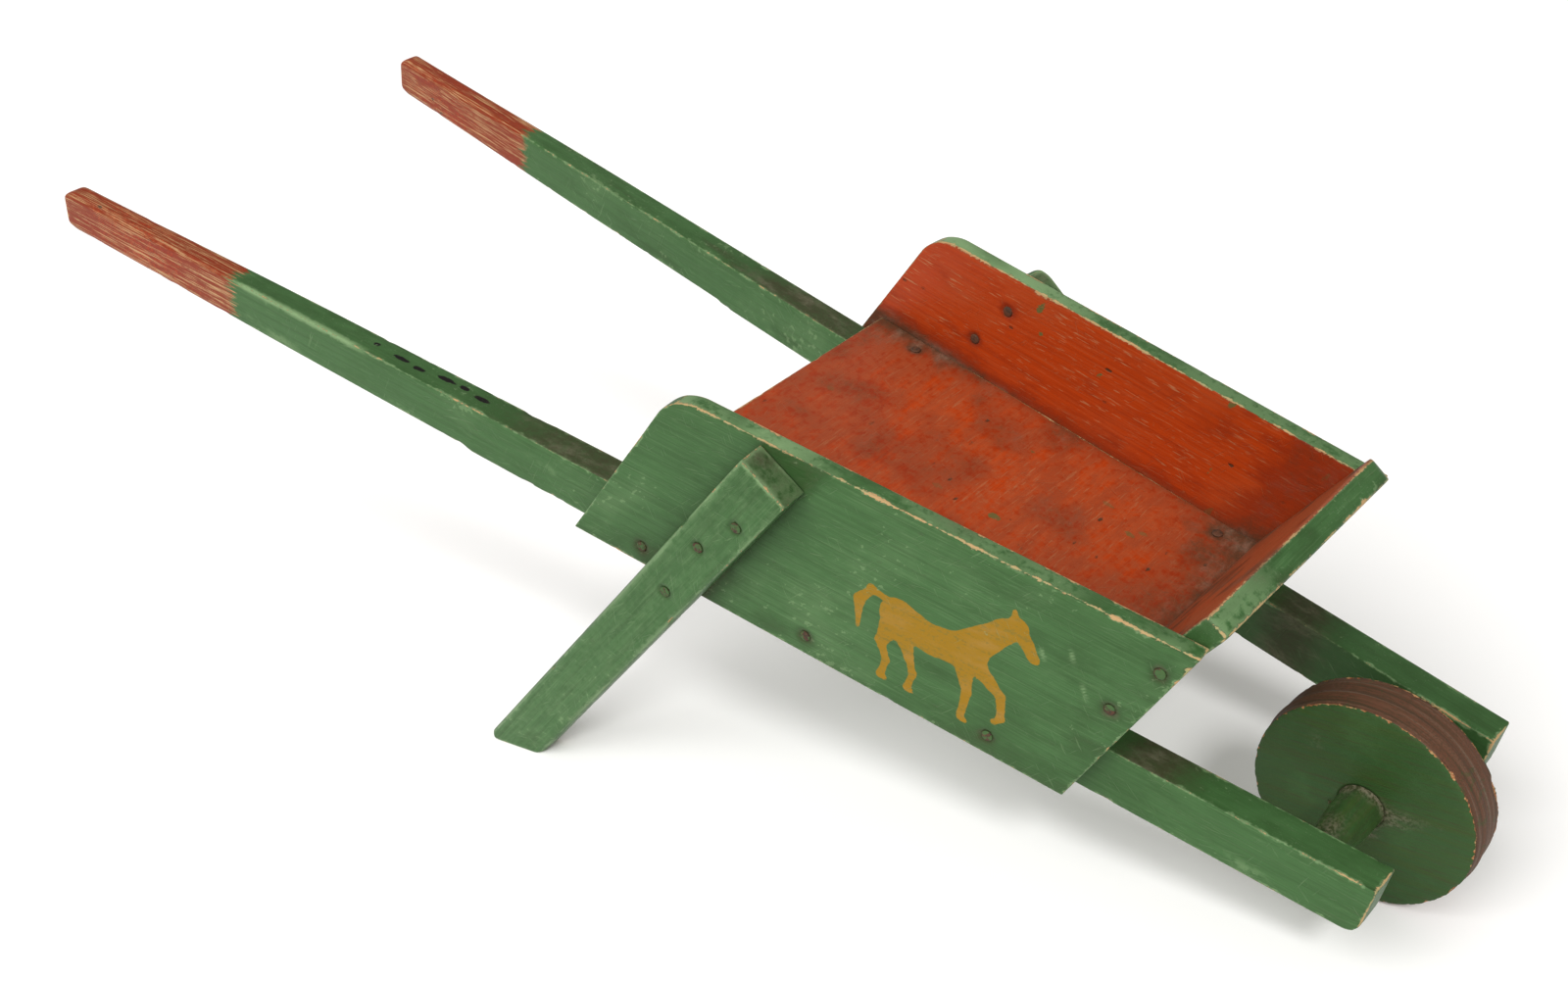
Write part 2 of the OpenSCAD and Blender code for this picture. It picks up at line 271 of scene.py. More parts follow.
class Block:
    """A bar or board laid along +p, its width along q and its thickness along r.

    Rings of points are carried along p. A ring is a rectangle whose four corners are arcs with
    radii of their own. At each end the ring turns over a quarter circle and then shrinks to a
    point, so the block is closed. It keeps its points, their normals, its faces, where its points
    were at the start and how far each was from the nearest edge.
    """

    def __init__(self, length, width, thickness, radii, end_radius, step):
        step = step
        self.size = length, width
        turn = np.linspace(0, math.pi / 2, 5)
        shrink = np.linspace(0.04, 1, max(4, int(width / step / 2)))[:-1]
        body = np.linspace(end_radius, length - end_radius, max(3, int(length / step)))
        # One end, from its middle outwards and over the quarter circle: how far along p, how far in
        # from the sides, how much it is shrunk, and how much it faces along p.
        zero, over = 0 * shrink, turn[:-1]
        along_end = np.concatenate([zero, end_radius * (1 - np.cos(over))])
        inset_end = np.concatenate([zero + end_radius, end_radius * (1 - np.sin(over))])
        scale_end = np.concatenate([shrink, 0 * over + 1])
        lean_end = np.concatenate([zero + 1, np.cos(over)])
        p = np.concatenate([along_end, body, length - along_end[::-1]])
        inset = np.concatenate([inset_end, 0 * body, inset_end[::-1]])
        scale = np.concatenate([scale_end, 0 * body + 1, scale_end[::-1]])
        lean = np.concatenate([-lean_end, 0 * body, lean_end[::-1]])

        first, second, theta, share = [], [], [], []
        for k, flat in enumerate((width, thickness, width, thickness)):
            along = np.linspace(0, 1, max(2, int(flat / step)) + 1)[1:-1]
            first.append(np.full(len(turn) + len(along), k))
            second.append(np.concatenate([np.full(len(turn), k), np.full(len(along), (k + 1) % 4)]))
            theta.append(np.concatenate([turn, np.full(len(along), math.pi / 2)]) + k * math.pi / 2)
            share.append(np.concatenate([0 * turn, along]))
        first, second, theta, share = map(np.concatenate, (first, second, theta, share))

        radii = radii(p) if callable(radii) else np.full((len(p), 4), radii)
        left = np.maximum(radii - inset[:, None], 0.02 * MM)
        half_q = width / 2 - inset[:, None] - left
        half_r = thickness / 2 - inset[:, None] - left
        sign_q, sign_r = np.array([1, -1, -1, 1]), np.array([1, 1, -1, -1])
        cos, sin = np.cos(theta), np.sin(theta)

        def ring(corner, half, sign, direction):
            return (half * sign)[:, corner] + left[:, corner] * direction

        q = (1 - share) * ring(first, half_q, sign_q, cos) + share * ring(second, half_q, sign_q, cos)
        r = (1 - share) * ring(first, half_r, sign_r, sin) + share * ring(second, half_r, sign_r, sin)
        upright = np.sqrt(1 - lean ** 2)[:, None]
        p = np.repeat(p[:, None], len(theta), 1)
        self.faces = closed_faces(*p.shape)
        poles = np.array([[0, 0, 0], [length, 0, 0]])
        self.points = np.vstack([np.column_stack([v.ravel() for v in (
            p, q * scale[:, None], r * scale[:, None])]), poles])
        self.normals = np.vstack([np.column_stack([v.ravel() for v in (
            np.repeat(lean[:, None], len(theta), 1), cos * upright, sin * upright)]),
            [[-1, 0, 0], [1, 0, 0]]])
        self.start = self.points.copy()
        room = np.abs(np.column_stack([np.minimum(self.start[:, 0], length - self.start[:, 0]),
                                       width / 2 - np.abs(self.start[:, 1]),
                                       thickness / 2 - np.abs(self.start[:, 2])]))
        self.edge = np.sort(room, axis=1)[:, 1]

    def wear(self, depth, seed, reach=3.5 * MM, knock=9 * MM):
        """Pulls the surface in along its normals: a steady rub and scattered knocks that fade
        away from the edges as exp(-(distance / reach)^2), and a slow unevenness everywhere."""
        depth = depth * finish().wear
        near = np.exp(-(self.edge / reach) ** 2)
        knocks = np.maximum(0, rough(self.start, (1.6 * knock, knock, knock), seed) - 0.40)
        slow = 0.5 + 0.5 * noise(self.start, (90 * MM, 26 * MM, 26 * MM), seed + 11)
        tooth = 0.5 + 0.5 * rough(self.start, (14 * MM, 3 * MM, 3 * MM), seed + 12)
        pull = near * (0.25 * depth + 2.8 * depth * knocks) + 0.14 * MM * slow + 0.06 * MM * tooth
        self.knocks = near * knocks
        self.points = self.points - self.normals * pull[:, None]

    def round_corner(self, end, up, reach_p, reach_q):
        """Rounds a corner of the outline seen along r. A point (u, v) of the unit square in the
        corner goes to (u sqrt(1 - v^2/2), v sqrt(1 - u^2/2)), which is a quarter disc."""
        length, width = self.size
        p = self.points[:, 0] if end else length - self.points[:, 0]
        q = self.points[:, 1] * up
        u = np.maximum(0, (p - length + reach_p) / reach_p)
        v = np.maximum(0, (q - width / 2 + reach_q) / reach_q)
        both = (u > 0) & (v > 0)
        p = np.where(both, length - reach_p + reach_p * u * np.sqrt(1 - v * v / 2), p)
        q = np.where(both, width / 2 - reach_q + reach_q * v * np.sqrt(1 - u * u / 2), q)
        self.points[:, 0] = p if end else length - p
        self.points[:, 1] = q * up


def sink(points, heads, radius, depth, rim=0.8 * MM):
    """Sinks round seats for nail heads: within the radius of a nail's line a point moves down
    along the line by the depth, and the rim eases back to the face over a short way."""
    for centre, axis in heads:
        along, away = from_line(points, centre, axis)
        bowl = (1 - smooth(away, radius, radius + rim)) * (np.abs(along) < 4 * MM)
        points = points - (bowl * depth)[:, None] * axis
    return points


def near_nails(points, groups, reach):
    """1 on the lines of the nails, fading round them as exp(-(distance / reach)^2). Each group is
    what nail_spots gives for one node."""
    total = np.zeros(len(points))
    for centre, axis in (head for group in groups for head in group[0]):
        along, away = from_line(points, centre, axis)
        total = np.maximum(total, np.exp(-(away / reach) ** 2) * (np.abs(along) < 5 * MM))
    return total


def drill(points, normals, centre, axis, radius, depth):
    """A blind hole: the points of the face inside the radius go down to the depth, and those
    next to the radius are drawn onto its circle, so the wall is round and upright."""
    offset = points - centre
    along = offset @ axis
    flat = offset - along[:, None] * axis
    away = np.linalg.norm(flat, axis=1)
    face = (np.abs(along) < 2 * MM) & (normals @ axis > 0.7)
    band = face & (np.abs(away - radius) < 1.3 * MM)
    inside = away < radius
    drawn = np.where(inside, radius, radius + 0.03 * MM)
    scale = np.where(band, drawn / np.maximum(away, 1e-6), 1)
    along = np.where(face & inside, -depth, along)
    return centre + flat * scale[:, None] + along[:, None] * axis


# ---- putting pieces into the scene ----


def add_piece(name, points, quads, fans, body, replaced, slot_name, material, attributes):
    """Makes a mesh from arrays, turns its faces outwards by the sign of its volume, stores what
    the paint reads as attributes, and hangs the piece on its body."""
    corner = points[quads]
    crossed = np.cross(corner[:, 2] - corner[:, 0], corner[:, 3] - corner[:, 1])
    if np.einsum("ij,ij->", corner.mean(1) - points.mean(0), crossed) < 0:
        quads, fans = quads[:, ::-1], fans[:, ::-1]
    mesh = bpy.data.meshes.new(name)
    mesh.from_pydata(points, [], quads.tolist() + fans.tolist())
    mesh.polygons.foreach_set("use_smooth", np.ones(len(mesh.polygons), bool))
    for key, values in attributes.items():
        kind = "FLOAT_VECTOR" if values.ndim == 2 else "FLOAT"
        layer = mesh.attributes.new(key, kind, "POINT")
        layer.data.foreach_set("vector" if values.ndim == 2 else "value",
                               values.astype(np.float32).ravel())
    mesh.update()
    if mesh.validate():
        raise RuntimeError(f"{name} has faces that had to be mended")
    mesh.materials.append(material)
    piece = bpy.data.objects.new(name, mesh)
    bpy.context.scene.collection.objects.link(piece)
    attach(piece, body)
    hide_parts(*replaced)


def add_wood(node, points, block, slot_name, material, layers):
    """Adds the worn block that replaces a node of the frame body."""
    add_piece(f"{node}_worn", points, *block.faces, "frame", [node], slot_name, material, layers)


def paint_layers(block, seed, red, grime, bare=0.0, faded=0.0, motif=1.0):
    """What the paint reads at each point: the grain's own coordinates, the distance to the
    nearest edge, the distance inside the red paint, darkening that is partly soiling and partly
    painted shade, bare wood, faded paint and the signed distance to the pony's outline or to the
    drops of pitch. Knocks take the paint off too."""
    shift = np.random.default_rng(seed).uniform(0, 5, 3)
    layers = {"red": red, "motif": motif, "grime": np.clip(grime, 0, 1), "faded": np.clip(faded, 0, 1),
              "bare": np.clip(bare, 0, 1) + 1.1 * np.minimum(block.knocks, 0.6)}
    layers = {key: np.broadcast_to(value, len(block.points)) for key, value in layers.items()}
    return {"grain": block.start + shift, "edge": block.edge, **layers}


def spot(first, second, centre, reach_first, reach_second):
    """1 at the centre of an oval spot, fading as exp(-distance^2) in its two half sizes."""
    return np.exp(-((first - centre[0]) / reach_first) ** 2 - ((second - centre[1]) / reach_second) ** 2)


# ---- nails ----

# Where the nails are, in millimetres: behind the shafts' front ends, up from the shafts' tops, or
# along and across a leg from its top end.
SIDE_NAILS_BACK, SIDE_NAIL_DEPTH = (218, 341, 462), 24.5
FRONT_NAILS_UP = (38, 77)
FLOOR_NAILS_BACK = (195, 439)
LEG_NAILS = ((42, 6), (79, -2), (130, 2))
LEG_INNER_NAILS = ((19, -4), (58, -7))
# How far the dirt round a nail reaches, the depth of the seats that the nails are sunk in, and how
# much wider than its head a seat is.
NAIL_DIRT, SEAT_DEPTH, SEAT_SPARE = 5.2 * MM, 0.9 * MM, 0.3 * MM


def side_name(side):
    """The name of a side."""
    return "right" if side == RIGHT else "left"


def nail_spots(side):
    """For each nail node of a side, where its heads sit and which way they face, level layout,
    and the length of the nails."""
    s = sizes()
    lean = math.tan(s.front_lean)
    outer, board = np.array([0, -1.0, 0]), -s.board_thickness
    front_x = -s.front_foot + s.front_thickness / math.cos(s.front_lean) / 2
    side_heads = [[-back * MM, board, -SIDE_NAIL_DEPTH * MM] for back in SIDE_NAILS_BACK]
    front_heads = [[(front_x + (up * MM - s.floor_thickness) * lean) / math.cos(s.spread), board,
                    up * MM] for up in FRONT_NAILS_UP]
    leg_heads = [leg_point(a * MM, b * MM, board - s.leg_thickness)[0] for a, b in LEG_NAILS]
    inner_heads = [leg_point(a * MM, b * MM, 0.0)[0] for a, b in LEG_INNER_NAILS]
    floor_heads = [[-back * MM, s.shaft_width / 2, s.floor_thickness] for back in FLOOR_NAILS_BACK]
    groups = {"side_board_nails": (side_heads, outer, 28), "front_board_nails": (front_heads, outer, 36),
              "leg_nails": (leg_heads, outer, 27), "leg_inner_nails": (inner_heads, -outer, 26),
              "floor_nails": (floor_heads, np.array([0, 0, 1.0]), 34)}
    origin = from_side(np.zeros((1, 3)), side)[0]
    return {key: ([(from_side(np.array([h]), side)[0], from_side(axis[None], side)[0] - origin)
                   for h in heads], nail_length * MM)
            for key, (heads, axis, nail_length) in groups.items()}


def make_nails(side, key, material):
    """Hand-forged nails: a domed head with an uneven rim, a round neck and a shank. A profile of
    radius against height is turned about the nail's line."""
    s = sizes()
    spots, nail_length = nail_spots(side)[key]
    head, shank = s.head_radius, s.shank_radius
    turns = np.linspace(0, 2 * math.pi, 28, endpoint=False)
    radius = np.array([0.25, 0.55, 0.8, 0.93, 1.0, 0.97]) * head
    height = np.array([0.32, 0.26, 0.14, 0.0, -0.3, -0.85]) * MM
    radius = np.append(radius, [shank, shank, 0.6 * shank])
    height = np.append(height, [-1.0 * MM, 1.2 * MM - nail_length, 0.5 * MM - nail_length])
    points, quads, fans = [], [], []
    rows, columns = len(radius), len(turns)
    for number, (centre, axis) in enumerate(spots):
        u = np.cross(axis, [0.3, 0.2, 0.9])
        u /= np.linalg.norm(u)
        v = np.cross(axis, u)
        rim = np.random.default_rng(number + len(key)).uniform(0.93, 1.0, columns)
        rim = (rim + np.roll(rim, 1) + np.roll(rim, -1)) / 3
        wide = radius[:, None] * np.where(radius[:, None] > shank, rim, 1)
        ring = (wide * np.cos(turns))[..., None] * u + (wide * np.sin(turns))[..., None] * v
        ring = ring + centre + height[:, None, None] * axis
        ends = np.array([centre + 0.34 * MM * axis, centre - nail_length * axis])
        nail_quads, nail_fans = closed_faces(rows, columns, number * (rows * columns + 2))
        quads.append(nail_quads)
        fans.append(nail_fans)
        points.append(np.vstack([ring.reshape(-1, 3), ends]))
    node = f"{side_name(side)}_{key}"
    add_piece(f"{node}_forged", to_ground(np.vstack(points)), np.vstack(quads), np.vstack(fans),
              "frame", [node], "nail_iron", material, {})


# ---- the pieces of wood ----

# Marks on the right side, in millimetres. Gouges near a shaft's front end: how far behind it and
# how far above the shaft's middle. Drops of pitch: how far behind the front end, how far inward of
# the top's middle, and half of their length. Scratches beside the pony: behind and up.
GOUGES = ((88, 3), (80, -1), (61, 2))
PITCH_DROPS = ((610, 1, 7), (626, 3, 4), (641, 2, 8), (662, -1, 5), (678, 0, 7), (701, 1, 3))
DROP_HALF_WIDTH = 2.1 * MM
SCRATCHES = ((197, 52), (181, 60), (170, 41))
# Where the red of the grips starts, along the shaft.
GRIP_START = 0.828


def make_shaft(side, material):
    """A shaft: sawn square at the tray, tapered and shaved towards a rounded grip. Along it, p runs
    from the front end to the grip, q is up and r is inward."""
    s = sizes()
    seed = 100 + 40 * (side == LEFT)

    def edge_radii(p):
        grip = smooth(p, 0.74 * s.shaft_length, s.shaft_length) * 4.6 * MM
        return np.repeat((1.0 * MM + grip)[:, None], 4, 1)

    block = Block(s.shaft_length, s.shaft_height, s.shaft_width, edge_radii, 1.4 * MM, 2.1 * MM)
    block.wear(0.7 * MM, seed)
    block.round_corner(True, 1, s.grip_round, s.grip_round)
    block.round_corner(True, -1, s.grip_round, s.grip_round)
    block.round_corner(False, -1, s.nose_round, s.nose_round)
    p, q, r = block.points.T
    # Underside: a step where the shaving starts, then a straight taper to the grip's height.
    shaved = s.shaft_height - s.shave_depth * smooth(p, s.shave_start, s.shave_start + 9 * MM)
    taper = np.clip((p - s.shave_start - 8 * MM) / (s.shaft_length - s.grip_round - s.shave_start), 0, 1)
    height = shaved - taper * (s.shaft_height - s.shave_depth - s.grip_height)
    # Inner face: a straight taper from the rear of the tray to the grip's width.
    thin = np.clip((p - s.side_rear_low) / (s.shaft_length - s.side_rear_low), 0, 1)
    width = s.shaft_width - thin * (s.shaft_width - s.grip_width)
    z = (q / s.shaft_height - 0.5) * height
    half = s.front_gap / 2 + s.shaft_width
    y = -half - p * math.tan(s.spread) + (0.5 + r / s.shaft_width) * width
    # The front end is sawn a little out of square.
    x = 0.4 * MM * smooth(p, 0.96, 1.0) - p
    x = x - 1.6 * MM * (0.5 - q / s.shaft_height) * (1 - smooth(p, 0, 30 * MM))
    level = np.column_stack([x, y, z])
    axle = np.array([-s.axle_back, -(s.front_gap / 2 + s.axle_back * math.tan(s.spread)), -s.axle_below])
    level = drill(level, block.normals[:, [0, 2, 1]], axle, np.array([0, 1.0, 0]), s.hole_radius,
                  s.hole_depth)
    if side == LEFT:
        level[:, 1] *= -1
    top = smooth(block.normals[:, 1], 0.3, 0.9)
    outer = smooth(-block.normals[:, 2], 0.3, 0.9)
    under = smooth(-block.normals[:, 1], 0.3, 0.9)
    blotch = rough(block.start, (60 * MM, 14 * MM, 14 * MM), seed + 5)
    grip = smooth(p, 0.81, 0.83)
    # Dirt gathers on the top beside the tray. Where the front board ends the shaft is darker all round:
    # dirt on the top, and painted shade on the inner and under faces. All along, the top is darker,
    # partly painted shade and partly dirt, and the underside is darker as painted shade.
    behind = stretch_of(p, 0.47, 0.50, 0.53, 0.64) * top
    ahead = stretch_of(p, 0.09, 0.14, 0.125, 0.165)
    grime = 0.25 * top + 0.60 * behind + ahead * (0.2 + 0.3 * top + 0.5 * (1 - outer)) + 0.3 * under
    grime = grime * (1 - 0.6 * grip) + 0.30 * smooth(blotch, 0.25, 0.7) * (1 - outer * 0.7)
    # The inner face is darker beside the wheel: painted shade.
    grime = grime + 0.35 * smooth(block.normals[:, 2], 0.3, 0.9) * (1 - smooth(p, 0.20, 0.32))
    bare = 0.28 * (1 - smooth(np.minimum(p, s.shaft_length - p), 0.3 * MM, 2.5 * MM))
    faded = 0.5 * outer * smooth(blotch, 0.3, 0.8) * (1 - grip)
    motif = 1.0
    if side == RIGHT:
        # A rubbed band on the outer top edge behind the tray, gouges near the front end, and
        # drops of pitch along the top.
        band = stretch_of(p, 0.69, 0.72, 0.81, 0.83)
        edge_gap = np.hypot(s.shaft_height / 2 - q, s.shaft_width / 2 + r)
        faded = faded + band * (1 - smooth(edge_gap, 2 * MM, 4.5 * MM))
        for at, up in GOUGES:
            bare = bare + 0.9 * outer * spot(p, q, (at * MM, up * MM), 4.5 * MM, 1.5 * MM)
        for at, off, half_long in PITCH_DROPS:
            oval = np.hypot((p - at * MM) / (half_long * MM), (r - off * MM) / DROP_HALF_WIDTH)
            motif = np.where(top > 0.5, np.minimum(motif, (oval - 1) * DROP_HALF_WIDTH), motif)
    red = p - GRIP_START - 10 * MM * (side == LEFT)
    add_wood(f"{side_name(side)}_shaft", to_ground(level), block, "green_wood", material,
             paint_layers(block, seed, red, grime, bare, faded, motif))


def pony_outline(x, z):
    """Signed distance to a walking pony: the union of strokes whose width runs evenly from one
    end's radius to the other's, joined by a smooth minimum. Millimetres, x forward, z up."""
    paths = [
        [(-283, 26, 12.5), (-262, 22, 10.5), (-239, 26, 12.5)],
        [(-240, 29, 11.5), (-220, 54, 7.2), (-213, 61, 5.4), (-201, 45, 3.6)],
        [(-216, 65, 2.2), (-217, 70, 1.3)],
        [(-287, 18, 8), (-292, 2, 3.2), (-287, -9, 2.3), (-289, -22, 2.2), (-286, -23, 1.6)],
        [(-279, 16, 7), (-273, 1, 3), (-269, -9, 2.2), (-271, -21, 2.2), (-268, -22, 1.6)],
        [(-240, 18, 7), (-235, -1, 2.8), (-236, -21, 2.2), (-233, -22, 1.6)],
        [(-231, 20, 6.5), (-215, 8, 3), (-212, -7, 2.3), (-216, -12, 1.8)],
        [(-293, 34, 2.2), (-302, 36, 2.6), (-309, 24, 3.4), (-308, 4, 0.9)],
    ]
    strokes = [pair for path in paths for pair in zip(path, path[1:])]
    point = np.column_stack([x, z]) / MM
    total = np.full(len(point), 1e3)
    soft = 2.2
    for start, end in strokes:
        a, b = np.array(start[:2], float), np.array(end[:2], float)
        t = np.clip((point - a) @ (b - a) / ((b - a) @ (b - a)), 0, 1)
        far = np.linalg.norm(point - a - t[:, None] * (b - a), axis=1)
        far = far - (start[2] + t * (end[2] - start[2]))
        blend = np.maximum(soft - np.abs(total - far), 0) / soft
        total = np.minimum(total, far) - blend * blend * soft / 4
    return total * MM


def make_side_board(side, material):
    """A side board: green outside, red inside, its upper rear corner rounded. Along it, p runs
    rearward, q is up and r is inward."""
    s = sizes()
    seed = 200 + 40 * (side == LEFT)
    height = s.board_top + s.board_drop
    rear_slope = (s.side_rear_low - s.side_rear_top) / height
    length_low = s.side_rear_low - s.side_front_low
    length_top = s.side_rear_top - s.side_front_top
    block = Block(length_low, height, s.board_thickness, 1.0 * MM, 1.0 * MM,
                  1.6 * MM if side == RIGHT else 2 * MM)
    block.wear(0.8 * MM, seed, knock=7 * MM)
    turn = math.atan(1 / rear_slope)
    tangent = s.corner_radius * math.tan(turn / 2)
    block.round_corner(True, 1, tangent * length_low / length_top, tangent * math.sin(turn))
    p, q, r = block.points.T
    up = q / height + 0.5
    ahead = s.side_front_low + up * (s.side_front_top - s.side_front_low)
    behind = s.side_rear_low + up * (s.side_rear_top - s.side_rear_low)
    x = -(ahead + p / length_low * (behind - ahead))
    z = up * height - s.board_drop
    level = from_side(np.column_stack([x, r - s.board_thickness / 2, z]), side)
    spots = nail_spots(side)
    seats = ("side_board_nails", "front_board_nails", "leg_inner_nails")
    for key in seats:
        level = sink(level, spots[key][0], s.head_radius + SEAT_SPARE, SEAT_DEPTH)
    rings = near_nails(level, [spots[key] for key in seats], NAIL_DIRT)
    outside = block.normals[:, 2] < -0.6
    inside = block.normals[:, 2] > 0.6
    red = np.where(inside, block.edge - 0.6 * MM, -block.edge - 1 * MM)
    red = np.where(inside & (z < -1 * MM), -5 * MM, red)
    blotch = rough(block.start, (50 * MM, 30 * MM, 30 * MM), seed + 6)
    floor_seam_dust_and_shade = np.exp(-np.maximum(0, z - s.floor_thickness) / (9 * MM)) * inside
    rear = smooth(-x, 0.30, 0.48)
    front_board_shade = np.exp(-np.maximum(0, -x - 0.19 + 0.25 * z) / (14 * MM)) * inside
    beside_leg = np.abs((x + s.leg_top_back) * math.cos(s.leg_lean)
                        - (z - s.leg_top_height) * math.sin(s.leg_lean)) - s.leg_width / 2
    leg_shade = np.exp(-np.maximum(0, beside_leg) / (5 * MM)) * outside
    low = outside * np.exp(-np.maximum(0, z + s.board_drop) / (16 * MM))
    top = smooth(block.normals[:, 1], 0.4, 0.9)
    # Painted shade: the inside is darker along the floor seam and beside the front board, and the outer face is
    # darker beside the leg, where the leg's shadow falls. Dust adds to the floor seam towards the rear. The outer
    # face is also darker towards its lower edge and towards the front, the top is darker, blotches add dirt, and
    # the nails have dark rings.
    grime = (floor_seam_dust_and_shade * (0.55 + 0.45 * rear) + 0.5 * front_board_shade + 0.45 * leg_shade + 0.3 * low
             + 0.27 * top * (1 - 0.6 * rear) + 0.25 * smooth(blotch, 0.1, 0.6)
             + 0.17 * outside * smooth(x, -0.36, -0.14) + rings)
    # The arrises along the top have lost their paint almost without a break.
    under_top = height / 2 - block.start[:, 1]
    bare = 0.19 * (1 - smooth(under_top, 3 * MM, 6 * MM))
    bare = bare + 1.2 * outside * spot(x, z, (-s.side_front_top - 16 * MM, s.board_top - 10 * MM),
                                       13 * MM, 3 * MM)
    faded = top * (0.45 + 0.55 * smooth(-x, 0.28, 0.40)) * smooth(blotch, -0.6, 0.2)
    if side == RIGHT:
        for back, high in SCRATCHES:
            leaning = (0.4 * high - back) * MM, high * MM
            faded = faded + 0.8 * outside * spot(x + 0.4 * z, z, leaning, 1.2 * MM, 4 * MM)
    motif = np.where(outside, pony_outline(x, z), 1.0) if side == RIGHT else 1.0
    add_wood(f"{side_name(side)}_side_board", to_ground(level), block, "green_wood", material,
             paint_layers(block, seed, red, grime, bare, faded, motif))


def make_floor(material):
    """The floor board, its grain and p running across the barrow, with q forward and r up."""
    s = sizes()
    seed = 300
    front_x = s.front_foot - s.front_thickness / math.cos(s.front_lean)
    half_front = s.front_gap / 2 + s.shaft_width
    depth = s.floor_rear - front_x
    wide = 2 * (half_front + s.floor_rear * math.tan(s.spread))
    block = Block(wide, depth, s.floor_thickness, 1.3 * MM, 1.0 * MM, 2.1 * MM)
    block.wear(0.8 * MM, seed)
    p, q, r = block.points.T
    x = -(front_x + (0.5 - q / depth) * depth)
    half = half_front - x * math.tan(s.spread)
    y = (p / wide - 0.5) * 2 * half
    z = r + s.floor_thickness / 2
    # The board has cupped a little: the top face is lowest along its middle.
    top = smooth(block.normals[:, 2], 0.4, 0.9)
    z = z - 0.5 * MM * top * np.cos(np.clip(q / depth, -0.5, 0.5) * math.pi)
    level = np.column_stack([x, y, z])
    nails = [nail_spots(side)["floor_nails"] for side in (RIGHT, LEFT)]
    for heads, _ in nails:
        level = sink(level, heads, s.head_radius + SEAT_SPARE, SEAT_DEPTH)
    blotch = rough(block.start, (40 * MM, 40 * MM, 40 * MM), seed + 6)
    wall = half - np.abs(y)
    side_seam_dust_and_shade = np.exp(-wall / (12 * MM))
    rear = smooth(-x, 0.36, 0.478)
    front_board_shade = np.exp(-np.maximum(0, -x - s.front_foot) / (26 * MM))
    # Painted shadow of the near side board on the floor, towards the front.
    near = smooth(-y, -0.05, 0.08) * smooth(x, -0.34, -0.18)
    rings = near_nails(level, nails, NAIL_DIRT)
    # Darker along the side boards, as painted shade in the seams with dust towards the rear; along the front board
    # and under the near side board, as painted shade; towards the rear with dust; and evenly, in blotches and in
    # rings round the nails.
    grime = top * (side_seam_dust_and_shade * (0.35 + 0.5 * rear) + 0.6 * front_board_shade + 0.22 * rear + 0.4 * near
                   + 0.16 + 0.32 * smooth(blotch, 0.0, 0.6) + rings)
    red = np.where(top > 0.5, block.edge + 2 * MM, -2 * MM)
    red = np.where(block.normals[:, 1] < -0.5, 0.5 * MM, red)
    bare = np.where(block.normals[:, 1] < -0.5, 0.3, 0.2 * (q < 3 * MM - depth / 2))
    # The underside is bare wood, darker as painted shade.
    under = block.normals[:, 2] < -0.5
    add_wood("floor_board", to_ground(level), block, "red_wood", material,
             paint_layers(block, seed, red, grime + 0.4 * under, bare + 0.5 * under, 0.38 * top))


# Radii of the front board's long edges: top inner, top outer, bottom outer, bottom inner.
FRONT_EDGES = np.array([3.6, 3.2, 1.2, 2.0]) * MM


def make_front_board(material):
    """The leaning front board: red inside, green on top and in front, rounded upper corners."""
    s = sizes()
    seed = 400
    rise = (s.board_top - s.floor_thickness) / math.cos(s.front_lean) + s.front_rise
    half_front = s.front_gap / 2 + s.shaft_width
    wide = 2 * (half_front + s.front_foot * math.tan(s.spread))
    block = Block(wide, rise, s.front_thickness, lambda p: np.tile(FRONT_EDGES, (len(p), 1)),
                  1.6 * MM, 1.9 * MM)
    block.wear(0.9 * MM, seed)
    for end in (True, False):
        block.round_corner(end, 1, 10 * MM, 8 * MM)
    p, q, r = block.points.T
    inward = s.front_thickness / 2 - r
    foot = inward * math.tan(s.front_lean)
    slope = foot + (q / rise + 0.5) * (rise - foot)
    x = -s.front_foot + slope * math.sin(s.front_lean) + inward * math.cos(s.front_lean)
    z = s.floor_thickness + slope * math.cos(s.front_lean) - inward * math.sin(s.front_lean)
    half = half_front - x * math.tan(s.spread)
    y = (p / wide - 0.5) * 2 * half
    level = np.column_stack([x, y, z])
    inside = block.normals[:, 2] > 0.5
    top = smooth(block.normals[:, 1], 0.4, 0.9)
    red = np.where(inside, block.edge - 0.8 * MM, -block.edge - 1 * MM)
    blotch = rough(block.start, (30 * MM, 22 * MM, 22 * MM), seed + 6)
    wall = half - np.abs(y)
    low = np.exp(-np.maximum(0, z - s.floor_thickness) / (18 * MM))
    # The inside is darker all over, and most in its corners against the side boards and the floor, where the
    # darkening is painted shade. The top is a little darker, and blotches add dirt.
    grime = inside * (0.34 + 0.5 * np.exp(-wall / (9 * MM)) + 0.4 * low) + 0.15 * top
    grime = grime + 0.45 * smooth(blotch, 0.0, 0.5)
    end_face = np.abs(block.normals[:, 0]) > 0.7
    under_top = rise / 2 - block.start[:, 1]
    bare = 0.16 * inside + 0.24 * (1 - smooth(under_top, 4 * MM, 7 * MM))
    faded = top * smooth(-y, 0.02, 0.06) * 0.5 + 0.7 * inside
    add_wood("front_board", to_ground(level), block, "green_wood", material,
             paint_layers(block, seed, red, grime + 0.35 * end_face, bare, faded))


